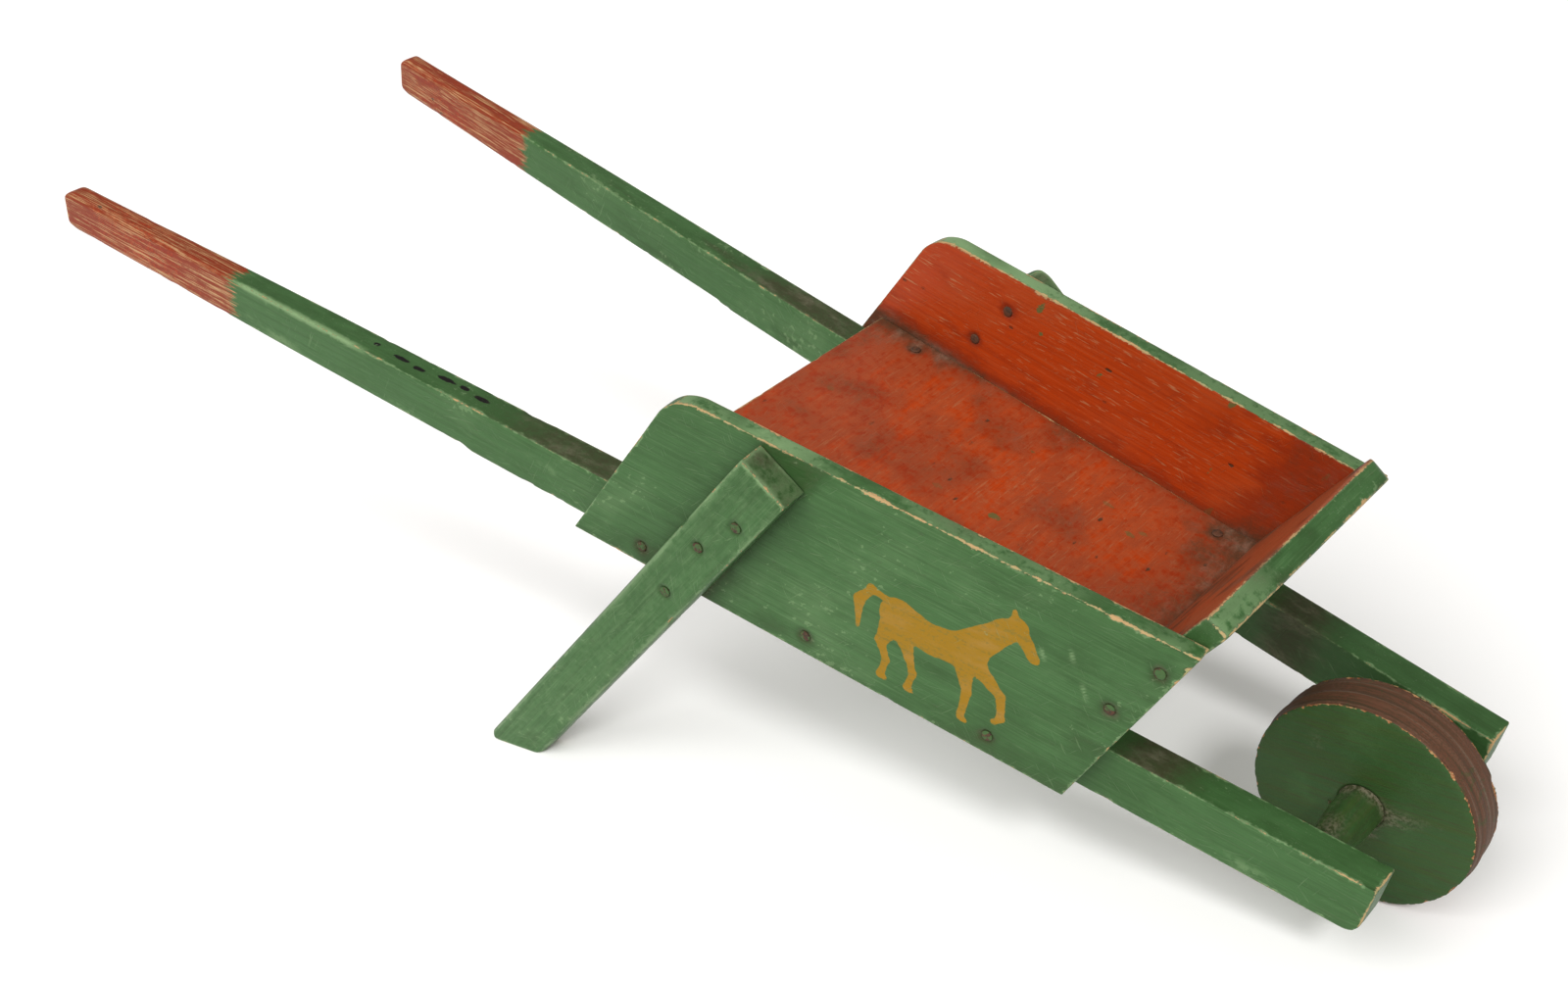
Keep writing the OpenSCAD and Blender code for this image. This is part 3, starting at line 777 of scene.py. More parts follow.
def make_leg(side, material):
    """A leg: square stock nailed flat to the side board, its outer edges shaved off, its foot
    cut level with the ground."""
    s = sizes()
    seed = 500 + 40 * (side == LEFT)
    # The block is a little too long, and its foot is then cut off at the ground.
    spare = 8 * MM

    def edge_radii(p):
        shaved = s.leg_bevel * (0.22 + 0.7 * smooth(p, 0.01, 0.16))
        square = np.full(len(p), 0.9 * MM)
        return np.column_stack([square, square, shaved, shaved])

    block = Block(s.leg_length + spare, s.leg_width, s.leg_thickness, edge_radii, 1.4 * MM, 1.9 * MM)
    block.wear(0.9 * MM, seed)
    block.round_corner(True, -1, 9 * MM, 10 * MM)
    block.round_corner(True, 1, 4 * MM, 4 * MM)
    if side == LEFT:
        block.round_corner(False, -1, 12 * MM, 14 * MM)
    p, q, r = block.points.T
    y = -s.board_thickness - s.leg_thickness / 2 + r
    # Where each line along the leg meets the ground, worked out from two points of the line.
    zero = to_ground(from_side(leg_point(0 * p, q, y), side))[:, 2]
    one = to_ground(from_side(leg_point(0 * p + 1, q, y), side))[:, 2]
    meets = zero / (zero - one)
    foot = smooth(p, s.leg_length - 70 * MM, s.leg_length)
    along = p * (1 - foot) + foot * p / (s.leg_length + spare) * (meets - 0.2 * MM)
    spots = nail_spots(side)
    level = sink(from_side(leg_point(along, q, y), side), spots["leg_nails"][0],
                 s.head_radius + 0.2 * MM, 1.1 * MM)
    placed = to_ground(level)
    placed[:, 2] = np.maximum(placed[:, 2], 0.05 * MM)
    outer = smooth(-block.normals[:, 2], 0.3, 0.9)
    blotch = rough(block.start, (40 * MM, 14 * MM, 14 * MM), seed + 6)
    low = smooth(p, s.leg_length - 60 * MM, s.leg_length)
    end_face = block.normals[:, 0] < -0.7
    # Dark rings round the nails, darker end grain at the top, blotches and dirt towards the foot; the faces other
    # than the outer one are a little darker as painted shade.
    grime = (near_nails(level, [spots["leg_nails"]], 5.0 * MM) + 0.55 * end_face
             + 0.2 * smooth(blotch, 0.0, 0.5) + 0.15 * low + 0.12 * (1 - outer))
    rubbed = (1 - smooth(block.edge, 1 * MM, 4.5 * MM)) * smooth(blotch, -0.4, 0.3)
    faded = 0.10 * outer + 0.35 * end_face + 0.7 * rubbed
    add_wood(f"{side_name(side)}_leg", placed, block, "green_wood", material,
             paint_layers(block, seed, -1.0, grime, 0.3 * low * smooth(blotch, 0, 0.2), faded))


# ---- the wheel and its axle ----


def turned(radius, height, facing, columns):
    """A profile of radius against height turned about Y. Returns points and normals as grids.
    Facing is the profile's outward direction, as (outward, along) for each of its points."""
    around = np.linspace(0, 2 * math.pi, columns, endpoint=False)
    out, along = facing.T
    cos, sin = np.cos(around), np.sin(around)
    points = np.stack([radius[:, None] * cos, np.repeat(height[:, None], columns, 1),
                       radius[:, None] * sin], -1)
    normals = np.stack([out[:, None] * cos, np.repeat(along[:, None], columns, 1),
                        out[:, None] * sin], -1)
    return points.reshape(-1, 3), normals.reshape(-1, 3)


def make_wheel(material):
    """A disc sawn from one plank: flat green faces, a brown tread and a hole for the axle."""
    s = sizes()
    seed = 600
    step = 1.5 * MM
    half = s.wheel_thickness / 2
    edge = 1.6 * MM
    turn = np.linspace(0, math.pi / 2, 5)[1:-1]
    sin, cos = np.sin(turn), np.cos(turn)
    inner = s.wheel_radius - edge
    face = np.linspace(s.hub_radius, inner, int((s.wheel_radius - s.hub_radius) / step))
    tread = np.linspace(-half + edge, half - edge, int(s.wheel_thickness / step))
    bore = np.linspace(half, -half, int(s.wheel_thickness / step / 2))[1:-1]
    # From the hub out over the right face, over the rounded rim and the tread, back over the left
    # face, and through the bore.
    radius = np.concatenate([face, inner + edge * sin, s.wheel_radius + 0 * tread,
                             inner + edge * cos, face[::-1], s.hub_radius + 0 * bore])
    height = np.concatenate([-half + 0 * face, -half + edge - edge * cos, tread,
                             half - edge + edge * sin, half + 0 * face, bore])
    facing = np.concatenate([
        np.tile([0, -1.0], (len(face), 1)), np.column_stack([sin, -cos]),
        np.tile([1.0, 0], (len(tread), 1)), np.column_stack([cos, sin]),
        np.tile([0, 1.0], (len(face), 1)), np.tile([-1.0, 0], (len(bore), 1))])
    columns = 300
    points, normals = turned(radius, height, facing, columns)
    away = np.hypot(points[:, 0], points[:, 2])
    rim = np.maximum(s.wheel_radius - away, 0) + np.maximum(half - np.abs(points[:, 1]), 0)
    near = np.exp(-(rim / (3.2 * MM)) ** 2)
    knocks = np.maximum(0, rough(points, 6 * MM, seed) - 0.05)
    fibres = np.maximum(0, rough(points, (2.2 * MM, 3 * MM, 1.2 * MM), seed + 3))
    on_tread = smooth(away, s.wheel_radius - 1.2 * MM, s.wheel_radius - 0.4 * MM)
    # The tread has worn into two bands on either side of a low ridge.
    band = on_tread * (0.8 * MM * (1 - np.exp(-((points[:, 1] + 3 * MM) / (2.2 * MM)) ** 2)))
    pull = near * (0.4 * MM + 2.2 * MM * knocks + 1.3 * MM * fibres) + band
    pull = pull + 0.18 * MM * (0.5 + 0.5 * noise(points, (40 * MM, 20 * MM, 9 * MM), seed + 7))
    pull = pull * smooth(away, s.hub_radius + 0.1 * MM, s.hub_radius + 3 * MM) * finish().wear
    moved = points - normals * pull[:, None]
    quads = grid_faces(len(radius), columns, loop=True)
    blotch = rough(points, (30 * MM, 20 * MM, 12 * MM), seed + 9)
    # Darker round the hub, in patches: painted shade where the axle goes through, and blotches of dirt.
    grime = 0.75 * np.exp(-(away - s.hub_radius) / (13 * MM)) * (0.6 + 0.6 * blotch)
    grime = grime + 0.3 * smooth(blotch, 0.1, 0.6)
    layers = {"grain": points[:, [0, 2, 1]] + 3.1, "edge": rim,
              "tread": on_tread * smooth(half - np.abs(points[:, 1]), -1 * MM, 1.2 * MM),
              "grime": np.clip(grime, 0, 1), "bare": np.clip(near * (knocks + fibres) * 2, 0, 1)}
    add_piece("wheel_worn", moved + AXLE, quads, np.zeros((0, 3), int), "wheel_set", ["wheel"],
              "wheel_wood", material, layers)


def make_axle(material):
    """A whittled axle: thick through the wheel, thinner beside the shafts, with round pins. The
    knots are radius and height, from the left end to the middle, and then mirrored."""
    s = sizes()
    shaft_face = s.front_gap / 2 + s.axle_back * math.tan(s.spread)
    shoulder = shaft_face - s.neck_radius * math.tan(s.spread) - s.side_play
    pin_end = shaft_face + s.hole_depth - 1 * MM
    hub_end = s.wheel_thickness / 2 + 16 * MM
    knots = np.array([
        (0, pin_end), (0.6 * s.pin_radius, pin_end), (0.93 * s.pin_radius, pin_end),
        (s.pin_radius, pin_end - 0.8 * MM), (s.pin_radius, shoulder + 0.3 * MM),
        (s.pin_radius + 0.4 * MM, shoulder), (s.neck_radius - 0.9 * MM, shoulder),
        (s.neck_radius - 0.1 * MM, shoulder - 0.8 * MM), (s.neck_radius, shoulder - 6 * MM),
        (s.neck_radius + 0.5 * MM, shoulder - 8 * MM), (s.hub_radius - 0.4 * MM, hub_end + 2 * MM),
        (s.hub_radius - 0.1 * MM, hub_end - 2 * MM), (s.hub_radius - 0.05 * MM, 0)])
    knots = np.vstack([knots, (knots * [1, -1])[-2::-1]])
    walk = np.concatenate([[0], np.cumsum(np.linalg.norm(np.diff(knots, axis=0), axis=1))])
    fine = np.unique(np.concatenate([walk, np.linspace(0, walk[-1], 170)]))[1:-1]
    radius, height = np.interp(fine, walk, knots[:, 0]), np.interp(fine, walk, knots[:, 1])
    columns = 96
    facing = np.tile([1.0, 0], (len(radius), 1))
    points, normals = turned(radius, height, facing, columns)
    around = np.arctan2(points[:, 2], points[:, 0])
    shown = stretch_of(np.abs(points[:, 1]), s.wheel_thickness / 2, s.wheel_thickness / 2 + 3 * MM,
                       shoulder - 1.5 * MM, shoulder)
    # Knife cuts leave shallow flats: seven round the axle, each a little different in depth.
    flats = 0.45 * MM * (1 - np.cos(7 * around + 4 * noise(points, (90 * MM, 18 * MM, 90 * MM), 703)))
    lumps = 0.3 * MM * (1 + rough(points, (10 * MM, 7 * MM, 10 * MM), 701))
    moved = points - normals * (shown * (flats + lumps))[:, None]
    quads, fans = closed_faces(len(radius), columns)
    poles = np.array([[0, pin_end, 0], [0, -pin_end, 0]])
    moved, points = np.vstack([moved, poles]), np.vstack([points, poles])
    top = smooth(moved[:, 2], 3 * MM, 12 * MM)
    # Darker in patches and along the top, and most next to the wheel's faces, where the darkening is painted shade
    # between the parts.
    grime = 0.2 + 0.3 * rough(points, 12 * MM, 705) + 0.25 * top
    grime = grime + 0.6 * np.exp(-np.abs(np.abs(points[:, 1]) - s.wheel_thickness / 2) / (3 * MM))
    pins = np.abs(points[:, 1]) > shoulder + 0.1 * MM
    # The pins are bare wood, like the tread.
    layers = {"grain": points[:, [1, 0, 2]] + 1.7, "edge": np.full(len(points), 8 * MM),
              "tread": np.where(pins, 1.0, 0.0), "grime": np.clip(grime, 0, 1),
              "bare": np.clip(0.2 * top, 0, 1)}
    add_piece("axle_whittled", moved + AXLE, quads, fans, "wheel_set", ["axle"],
              "green_wood", material, layers)


# ---- finishes ----

# How deep the relief of the paint and the grain is.
PAINT_RELIEF = 0.45 * MM


class Wire:
    """A shader socket that can be added to, taken from, multiplied and divided like a number."""

    def __init__(self, socket):
        self.socket = socket

    def _math(self, operation, first, second):
        tree = self.socket.id_data
        node = tree.nodes.new("ShaderNodeMath")
        node.operation = operation
        for slot_in, value in zip(node.inputs, (first, second)):
            if isinstance(value, Wire):
                tree.links.new(value.socket, slot_in)
            else:
                slot_in.default_value = value
        return Wire(node.outputs[0])

    def __add__(self, other):
        return self._math("ADD", self, other)

    def __sub__(self, other):
        return self._math("SUBTRACT", self, other)

    def __rsub__(self, other):
        return self._math("SUBTRACT", other, self)

    def __mul__(self, other):
        return self._math("MULTIPLY", self, other)

    def __truediv__(self, other):
        return self._math("DIVIDE", self, other)

    def most(self, other):
        """The larger of the two."""
        return self._math("MAXIMUM", self, other)

    def least(self, other):
        """The smaller of the two."""
        return self._math("MINIMUM", self, other)

    __radd__ = __add__
    __rmul__ = __mul__


class Finish:
    """A material and the nodes that it is made of."""

    def __init__(self, name):
        self.material = bpy.data.materials.new(name)
        self.material.use_nodes = True
        self.tree = self.material.node_tree
        self.tree.nodes.clear()

    def node(self, kind, settings=None, sockets=None, output=0):
        """Adds a node, with its settings first and then the values or links of its sockets, and
        returns one of its outputs. Sockets are named by their identifiers."""
        node = self.tree.nodes.new(kind)
        for key, value in (settings or {}).items():
            setattr(node, key, value)
        for key, value in (sockets or {}).items():
            socket = next(i for i in node.inputs if i.identifier == key)
            if isinstance(value, Wire):
                self.tree.links.new(value.socket, socket)
            else:
                socket.default_value = value
        return Wire(node.outputs[output]) if node.outputs else None

    def attribute(self, name, vector=False):
        """A value that the piece's mesh carries."""
        settings = {"attribute_type": "GEOMETRY", "attribute_name": name}
        return self.node("ShaderNodeAttribute", settings, output=1 if vector else 2)

    def object_place(self):
        """The place in the object's own coordinates."""
        return self.node("ShaderNodeTexCoord", output=3)

    def stretch(self, vector, x, y, z):
        """The vector with each of its coordinates multiplied."""
        return self.node("ShaderNodeVectorMath", {"operation": "MULTIPLY"},
                         {"Vector": vector, "Vector_001": (x, y, z)})

    def turned(self, vector, degrees):
        """The vector turned about its third coordinate."""
        return self.node("ShaderNodeMapping", {"vector_type": "POINT"},
                         {"Vector": vector, "Rotation": (0, 0, math.radians(degrees))})

    def noise(self, vector, scale=1.0, detail=3.0, roughness=0.5):
        """Fractal noise from 0 to 1."""
        return self.node("ShaderNodeTexNoise", {"noise_dimensions": "3D"},
                         {"Vector": vector, "Scale": scale, "Detail": detail, "Roughness": roughness})

    def cells(self, vector, scale):
        """Distance to the nearest of a scatter of points."""
        return self.node("ShaderNodeTexVoronoi", {"feature": "F1"}, {"Vector": vector, "Scale": scale})

    def between(self, value, low, high):
        """0 below low and 1 above high, eased between them."""
        return self.node("ShaderNodeMapRange", {"interpolation_type": "SMOOTHSTEP"},
                         {"Value": value, "From Min": low, "From Max": high})

    def mix(self, share, first, second):
        """A colour part of the way from the first to the second."""
        def whole(value):
            return value if isinstance(value, Wire) else (*value, 1.0)
        return self.node("ShaderNodeMix", {"data_type": "RGBA"},
                         {"Factor_Float": share, "A_Color": whole(first), "B_Color": whole(second)},
                         output=2)

    def coats(self, colour, *coats):
        """A colour with coats laid over it. Each coat is a value, its low and its high, the share
        by which the coat covers where the value is high, and the coat's colour."""
        for value, low, high, share, coat in coats:
            colour = self.mix(self.between(value, low, high) * share, colour, coat)
        return colour

    def close(self, base, roughness, height, depth, glow=0.0):
        """The surface itself: one principled shader with a bump. Old paint and wood are hardly
        glossy. Glow is a faint warm light of the surface's own, which lifts its shadows."""
        bump = self.node("ShaderNodeBump", None, {"Strength": 1.0, "Distance": depth, "Height": height})
        shader = self.node("ShaderNodeBsdfPrincipled", None,
                           {"Base Color": base, "Roughness": roughness, "Normal": bump,
                            "Specular IOR Level": 0.16, "Emission Color": (1.0, 0.93, 0.86, 1.0),
                            "Emission Strength": glow})
        self.node("ShaderNodeOutputMaterial", None, {"Surface": shader})
        return self.material


def scratches(f, grain, degrees, spacing):
    """Fine straight scratches one way: noise drawn out along a turned axis, kept where it is
    high, and only in some patches."""
    lane = f.stretch(f.turned(grain, degrees), 55, 850, 850)
    line = f.between(f.noise(lane, 1.0, 1.0), 0.67, 0.73)
    patch = f.between(f.noise(grain, spacing, 2.0), 0.47, 0.62)
    return line * patch


def painted_wood(name, grip=False):
    """Old paint on wood. From the bottom up: brush strokes and grain in green or red paint, green
    drops on the red, scuffs, paint darkened by soiling and by painted shade, faded paint, the pony
    or drops of pitch, rubbed edges, flakes and scratches, chips to bare wood with a dark rim, a
    film of soiling and painted shade, and nicks. With grip the red is browner, its grain shows
    pale, and the mark is pitch and not a pony."""
    c = finish()
    f = Finish(name)
    grain = f.attribute("grain", vector=True)
    edge = f.attribute("edge") / MM
    red_side = f.attribute("red") / MM
    dirt_and_shade = f.attribute("grime")
    gone = f.attribute("bare")
    faded = f.attribute("faded")
    mark = f.attribute("motif") / MM

    strokes = f.noise(f.stretch(grain, 7, 330, 330), 1.0, 4.0, 0.65)
    fibres = f.noise(f.stretch(grain, 24, 1100, 1100), 1.0, 3.0, 0.6)
    blotch = f.noise(grain, 13.0, 5.0, 0.6)
    patch = f.noise(f.stretch(grain, 34, 80, 80), 1.0, 5.0, 0.65)
    crumb = f.noise(grain, 190.0, 3.0, 0.6)
    speck = f.noise(grain, 520.0, 3.0, 0.6)

    green = f.mix(f.between(strokes, 0.25, 0.62) * 0.5 + 0.45, c.deep_green, c.green)
    green = f.coats(green, (blotch, 0.50, 0.80, 0.22, c.mint),
                    (1 - blotch, 0.48, 0.72, 0.40, c.deep_green),
                    (fibres, 0.52, 0.66, 0.35, c.deep_green),
                    (1 - fibres, 0.56, 0.68, 0.16, c.mint))
    if grip:
        green = f.coats(green, (1 - fibres, 0.52, 0.64, 0.35, c.deep_green))
        red = f.mix(f.between(strokes * 0.4 + fibres * 0.6, 0.38, 0.60), c.deep_red, c.grip_red)
        red = f.coats(red, (speck + (blotch - 0.5) * 0.6, 0.56, 0.66, 0.4, c.red))
        pale = f.between(fibres, 0.535, 0.595) * f.between(patch, 0.34, 0.50)
        red = f.mix(pale * 0.85, red, c.bare)
        ragged = (strokes - 0.5) * 40.0 + (fibres - 0.5) * 30.0 + (crumb - 0.5) * 6.0
    else:
        red = f.mix(f.between(strokes, 0.22, 0.60) * 0.45 + 0.55, c.deep_red, c.red)
        red = f.coats(red, (patch, 0.50, 0.74, 0.25, c.deep_red),
                      (1 - blotch, 0.44, 0.70, 0.25, c.rubbed_red),
                      (1 - fibres, 0.53, 0.65, 0.28, c.rubbed_red),
                      (fibres, 0.52, 0.64, 0.22, c.deep_red))
        splash = f.cells(f.stretch(grain, 1.6, 1, 1), 26.0) + (crumb - 0.5) * 0.24
        red = f.mix((1 - f.between(splash, 0.085, 0.115)) * 0.80, red, c.green)
        ragged = (crumb - 0.5) * 3.0 + (fibres - 0.5) * 2.0
    is_red = f.between(red_side + ragged, -0.25, 0.25)
    paint = f.mix(is_red, green, red)
    deep = f.mix(is_red, c.deep_green, c.deep_red)
    rubbed = f.mix(is_red, c.mint, c.rubbed_red)
    scuffs = f.between(f.noise(f.stretch(grain, 75, 800, 800), 1.0, 2.0, 0.5), 0.60, 0.66)
    scuffed = f.mix(is_red, c.mint, c.bare)
    paint = f.mix(scuffs * (0.12 + is_red * 0.30) * f.between(patch, 0.42, 0.58), paint, scuffed)
    # Where the darkening layer is high the paint turns to its deep colour: a shaded copy of the paint as painted
    # shade in seams, corners and undersides, and darker paint where the layer holds dirt.
    paint = f.coats(paint, (dirt_and_shade + (patch - 0.5) * 0.9, 0.05, 0.45, 0.7, deep))
    fade = faded * f.between(crumb * 0.6 + patch * 0.4 + faded * 0.16, 0.44, 0.60)
    paint = f.mix(fade * 0.9, paint, rubbed)

    marked = 1 - f.between(mark + (crumb - 0.5) * 2.2, -0.25, 0.25)
    if grip:
        paint = f.mix(marked, paint, c.pitch)
    else:
        thin = f.between(strokes * 0.5 + speck * 0.5, 0.38, 0.50)
        tone = f.mix(f.between(patch, 0.45, 0.70) * 0.15, c.ochre, c.bare)
        paint = f.mix(marked * (0.70 + thin * 0.30), paint, tone)

    worn = edge + (patch - 0.5) * 9.0 + (crumb - 0.5) * 6.0
    rub = 1 - f.between(worn, 0.2, 1.8)
    paint = f.mix(rub * 0.65, paint, rubbed)
    flakes = f.between(crumb + (blotch - 0.5) * 0.9 - edge.least(12.0) * 0.006, 0.67, 0.70)
    lines = scratches(f, grain, 16, 19.0).most(scratches(f, grain, -41, 27.0))
    lines = lines.most(scratches(f, grain, 70, 33.0))
    paint = f.mix((flakes * (0.35 + is_red * 0.1)).most(lines * (0.22 + is_red * 0.15)), paint, rubbed)
    chip_line = edge + (patch - 0.5) * 6.5 + (speck - 0.5) * 3.4 + (crumb - 0.5) * 3.0 - gone * 4.0
    bare = 1 - f.between(chip_line, -0.15, 0.25)
    wood = f.mix(f.between(fibres * 0.5 + patch * 0.5, 0.40, 0.60) * 0.7, c.bare, rubbed)
    rim = (1 - f.between(chip_line, 0.25, 1.0)) * 0.30
    surface = f.mix(bare, f.mix(rim, paint, c.grime), wood)

    pits = f.cells(f.stretch(grain, 0.5, 1, 1), 70.0) + (speck - 0.5) * 0.16
    nicks = (1 - f.between(pits, 0.05, 0.10)) * f.between(blotch, 0.46, 0.56) * (0.2 + is_red * 0.8)
    # Where the darkening layer is high a film covers the paint: a dark sheet of painted shade in seams, corners
    # and undersides, and dust and dirt elsewhere.
    film = f.between(dirt_and_shade + (blotch - 0.5) * 0.7 + (crumb - 0.5) * 0.5, 0.32, 1.1)
    surface = f.mix(film * 0.75, surface, f.mix(f.between(patch, 0.45, 0.7) * 0.7, c.grime, c.dust))
    surface = f.mix(film * f.between(speck, 0.45, 0.6) * 0.35, surface, c.grime)
    surface = f.mix(nicks * 0.85, surface, c.grime)

    roughness = 0.42 + bare * 0.35 + film * 0.22 + (patch - 0.5) * 0.3
    height = fibres * 0.30 + strokes * 0.22 + crumb * 0.25 - bare * 0.6 - nicks * 0.9 - lines * 0.3
    return f.close(surface, roughness, height, PAINT_RELIEF)


def wheel_paint(name):
    """Green paint with straight grain on the faces, and brown worn wood on the tread."""
    c = finish()
    f = Finish(name)
    grain = f.attribute("grain", vector=True)
    edge = f.attribute("edge") / MM
    tread = f.attribute("tread")
    dirt_and_shade = f.attribute("grime")
    gone = f.attribute("bare")
    strokes = f.noise(f.stretch(grain, 12, 240, 240), 1.0, 4.0, 0.6)
    fibres = f.noise(f.stretch(grain, 60, 1300, 1300), 1.0, 3.0, 0.6)
    blotch = f.noise(grain, 34.0, 4.0, 0.6)
    crumb = f.noise(grain, 210.0, 3.0, 0.6)
    speck = f.noise(grain, 560.0, 3.0, 0.6)
    green = f.mix(f.between(strokes, 0.25, 0.65), c.wheel_green, c.deep_green)
    green = f.coats(green, (blotch, 0.5, 0.7, 0.25, c.green), (fibres, 0.52, 0.7, 0.5, c.grime))
    bands = f.noise(f.stretch(grain, 9, 9, 420), 1.0, 3.0, 0.6)
    brown = f.coats(c.old_wood, (bands, 0.50, 0.68, 0.5, c.dust), (1 - bands, 0.52, 0.66, 0.6, c.grime),
                    (crumb + (blotch - 0.5) * 0.9, 0.62, 0.72, 0.4, c.deep_green),
                    (fibres, 0.45, 0.65, 0.55, c.grime))
    on_tread = f.between(tread + (crumb - 0.5) * 0.8, 0.3, 0.6)
    surface = f.mix(on_tread, green, brown)
    frayed = 1 - f.between(edge + (crumb - 0.5) * 5.5 + (speck - 0.5) * 3.0 - gone * 2.2, 0.1, 0.8)
    orange = f.mix(f.between(fibres, 0.4, 0.6), c.bare, c.rubbed_red)
    surface = f.mix(frayed * 0.85, surface, orange)
    # Where the darkening layer is high a film covers the paint: painted shade round the axle, and dirt in the
    # blotches.
    film = f.between(dirt_and_shade + (blotch - 0.5) * 0.6 + (crumb - 0.5) * 0.3, 0.2, 0.95)
    surface = f.mix(film * 0.75, surface, f.mix(f.between(speck, 0.4, 0.6), c.grime, c.dust))
    roughness = 0.46 + on_tread * 0.2 + frayed * 0.2 + (blotch - 0.5) * 0.2
    height = fibres * 0.4 + strokes * 0.4 + crumb * 0.3 + on_tread * bands * 0.8 - frayed * 0.4
    return f.close(surface, roughness, height, PAINT_RELIEF)


def forged_iron(name, paint):
    """Rusted iron with paint of that colour left on it."""
    c = finish()
    f = Finish(name)
    place = f.object_place()
    coarse = f.noise(place, 260.0, 4.0, 0.6)
    fine = f.noise(place, 900.0, 4.0, 0.6)
    rust = f.mix(f.between(fine, 0.42, 0.68), c.iron, c.old_wood)
    surface = f.mix(f.between(coarse, 0.42, 0.56) * 0.8, rust, paint)
    return f.close(surface, 0.62 + (fine - 0.5) * 0.5, fine * 0.6 + coarse * 0.6, 0.5 * MM)


def material(name):
    """The finish of that name, made the first time that it is asked for."""
    makers = {"board_paint": lambda: painted_wood("board_paint"),
              "shaft_paint": lambda: painted_wood("shaft_paint", grip=True),
              "wheel_paint": lambda: wheel_paint("wheel_paint"),
              "iron_in_green": lambda: forged_iron("iron_in_green", finish().green),
              "iron_in_red": lambda: forged_iron("iron_in_red", finish().old_wood)}
    return bpy.data.materials.get(name) or makers[name]()


# ---- the stage ----


def add_light(name, direction, strength, softness, tint):
    """A far soft light from that direction. Its softness is the angle that it fills."""
    data = bpy.data.lights.new(name, "SUN")
    data.energy, data.angle, data.color = strength, math.radians(softness), tint
    lamp = bpy.data.objects.new(name, data)
    lamp.rotation_euler = Vector(direction).normalized().to_track_quat("Z", "Y").to_euler()
    bpy.context.scene.collection.objects.link(lamp)


def make_stage():
    """A pale floor, a bright even surround, three soft lights and the camera. The camera looks
    from in front on the right: heading is its direction on the ground, counted from +X, dip is how
    far it looks down, and roll is how far it is tipped sideways."""
    reach = 14.0
    mesh = bpy.data.meshes.new("floor_sheet")
    mesh.from_pydata([(-reach, -reach, 0), (reach, -reach, 0), (reach, reach, 0), (-reach, reach, 0)],
                     [], [(0, 1, 2, 3)])
    f = Finish("floor_pale")
    cloud = f.noise(f.object_place(), 3.0, 3.0)
    shade = f.mix(cloud * 0.5, (0.90, 0.90, 0.90), (0.87, 0.87, 0.872))
    mesh.materials.append(f.close(shade, 0.85, cloud, 0.1 * MM, glow=0.12))
    sheet = bpy.data.objects.new("floor_sheet", mesh)
    bpy.context.scene.collection.objects.link(sheet)

    world = bpy.data.worlds.new("surround")
    world.use_nodes = True
    sky = world.node_tree.nodes["Background"]
    sky.inputs["Color"].default_value = (1, 0.985, 0.965, 1)
    sky.inputs["Strength"].default_value = 0.40
    bpy.context.scene.world = world
    add_light("light_side", (0.0, -1.0, 1.0), 1.9, 46, (1.0, 0.995, 0.985))
    add_light("light_front", (0.9, -0.6, 1.0), 1.45, 11, (1.0, 0.99, 0.98))
    add_light("light_rear", (-1.0, -0.3, 0.8), 0.35, 50, (1.0, 1.0, 1.0))

    heading, dip, roll = math.radians(135.0), math.radians(27.85), math.radians(-9.53)
    ahead = Vector((math.cos(heading) * math.cos(dip), math.sin(heading) * math.cos(dip), -math.sin(dip)))
    level = Vector((math.sin(heading), -math.cos(heading), 0))
    above = level.cross(ahead)
    right = level * math.cos(roll) + above * math.sin(roll)
    above = right.cross(ahead)
    data = bpy.data.cameras.new("camera")
    data.lens, data.sensor_width = 43.85, 36.0
    camera = bpy.data.objects.new("camera", data)
    place = Matrix.Translation((0.8032, -0.7836, 0.7399))
    camera.matrix_world = place @ Matrix((right, above, -ahead)).transposed().to_4x4()
    bpy.context.scene.collection.objects.link(camera)
    bpy.context.scene.camera = camera
    bpy.context.scene.view_settings.view_transform = "Standard"


# ---- operators, panel and registration ----


class BARROW_OT_shafts(bpy.types.Operator):
    """Make both shafts"""

    bl_idname = "barrow.shafts"
    bl_label = "Shafts"

    def execute(self, context):
        for side in (RIGHT, LEFT):
            make_shaft(side, material("shaft_paint"))
        return {"FINISHED"}


class BARROW_OT_side_boards(bpy.types.Operator):
    """Make both side boards"""

    bl_idname = "barrow.side_boards"
    bl_label = "Side boards"

    def execute(self, context):
        for side in (RIGHT, LEFT):
            make_side_board(side, material("board_paint"))
        return {"FINISHED"}


class BARROW_OT_floor_board(bpy.types.Operator):
    """Make the floor board of the tray"""

    bl_idname = "barrow.floor_board"
    bl_label = "Floor board"

    def execute(self, context):
        make_floor(material("board_paint"))
        return {"FINISHED"}


class BARROW_OT_front_board(bpy.types.Operator):
    """Make the leaning front board"""

    bl_idname = "barrow.front_board"
    bl_label = "Front board"

    def execute(self, context):
        make_front_board(material("board_paint"))
        return {"FINISHED"}


class BARROW_OT_legs(bpy.types.Operator):
    """Make both legs"""

    bl_idname = "barrow.legs"
    bl_label = "Legs"

    def execute(self, context):
        for side in (RIGHT, LEFT):
            make_leg(side, material("board_paint"))
        return {"FINISHED"}


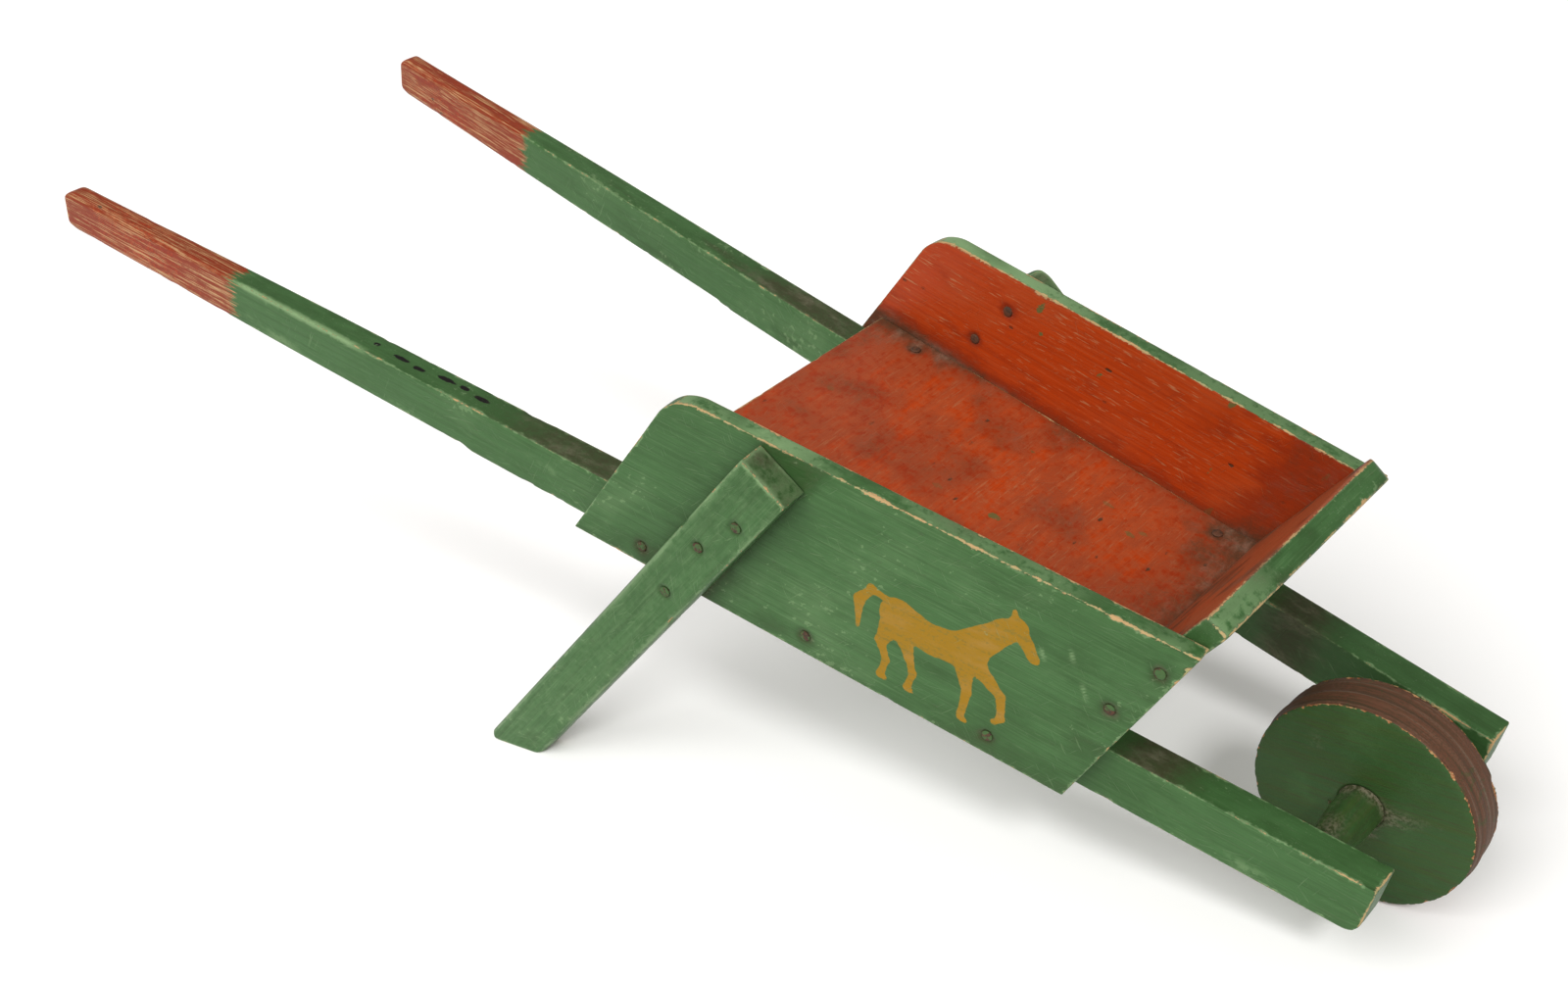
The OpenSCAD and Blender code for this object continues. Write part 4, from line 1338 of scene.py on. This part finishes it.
class BARROW_OT_wheel(bpy.types.Operator):
    """Make the wheel and its axle, and finish the nails that hold them together"""

    bl_idname = "barrow.wheel"
    bl_label = "Wheel and axle"

    def execute(self, context):
        make_wheel(material("wheel_paint"))
        make_axle(material("wheel_paint"))
        toe_nails = frame["nodes"]["wheel_toe_nails"]
        toe_nails.data.materials.clear()
        toe_nails.data.materials.append(material("iron_in_green"))
        return {"FINISHED"}


class BARROW_OT_nails(bpy.types.Operator):
    """Make the forged nails of the tray and the legs"""

    bl_idname = "barrow.nails"
    bl_label = "Nails"

    def execute(self, context):
        for side in (RIGHT, LEFT):
            for key in nail_spots(side):
                in_tray = key in ("leg_inner_nails", "floor_nails")
                make_nails(side, key, material("iron_in_red" if in_tray else "iron_in_green"))
        return {"FINISHED"}


class BARROW_OT_stage(bpy.types.Operator):
    """Make the floor, the lights and the camera"""

    bl_idname = "barrow.stage"
    bl_label = "Stage"

    def execute(self, context):
        make_stage()
        return {"FINISHED"}


OPERATORS = (BARROW_OT_shafts, BARROW_OT_side_boards, BARROW_OT_floor_board, BARROW_OT_front_board,
             BARROW_OT_legs, BARROW_OT_wheel, BARROW_OT_nails, BARROW_OT_stage)


class BARROW_PT_panel(bpy.types.Panel):
    """Lists the pieces of the wheelbarrow"""

    bl_label = "Wooden wheelbarrow"
    bl_idname = "BARROW_PT_panel"
    bl_space_type = "VIEW_3D"
    bl_region_type = "UI"
    bl_category = "Barrow"

    def draw(self, context):
        for operator in OPERATORS:
            self.layout.operator(operator.bl_idname)


CLASSES = (BarrowSizes, BarrowFinish, *OPERATORS, BARROW_PT_panel)


def register():
    for item in CLASSES:
        bpy.utils.register_class(item)
    bpy.types.Scene.barrow_sizes = PointerProperty(type=BarrowSizes)
    bpy.types.Scene.barrow_finish = PointerProperty(type=BarrowFinish)


def unregister():
    del bpy.types.Scene.barrow_finish
    del bpy.types.Scene.barrow_sizes
    for item in reversed(CLASSES):
        bpy.utils.unregister_class(item)


def main():
    """Makes every piece and the stage."""
    register()
    bpy.ops.barrow.shafts()
    bpy.ops.barrow.side_boards()
    bpy.ops.barrow.floor_board()
    bpy.ops.barrow.front_board()
    bpy.ops.barrow.legs()
    bpy.ops.barrow.wheel()
    bpy.ops.barrow.nails()
    bpy.ops.barrow.stage()


if __name__ == "__main__":
    main()
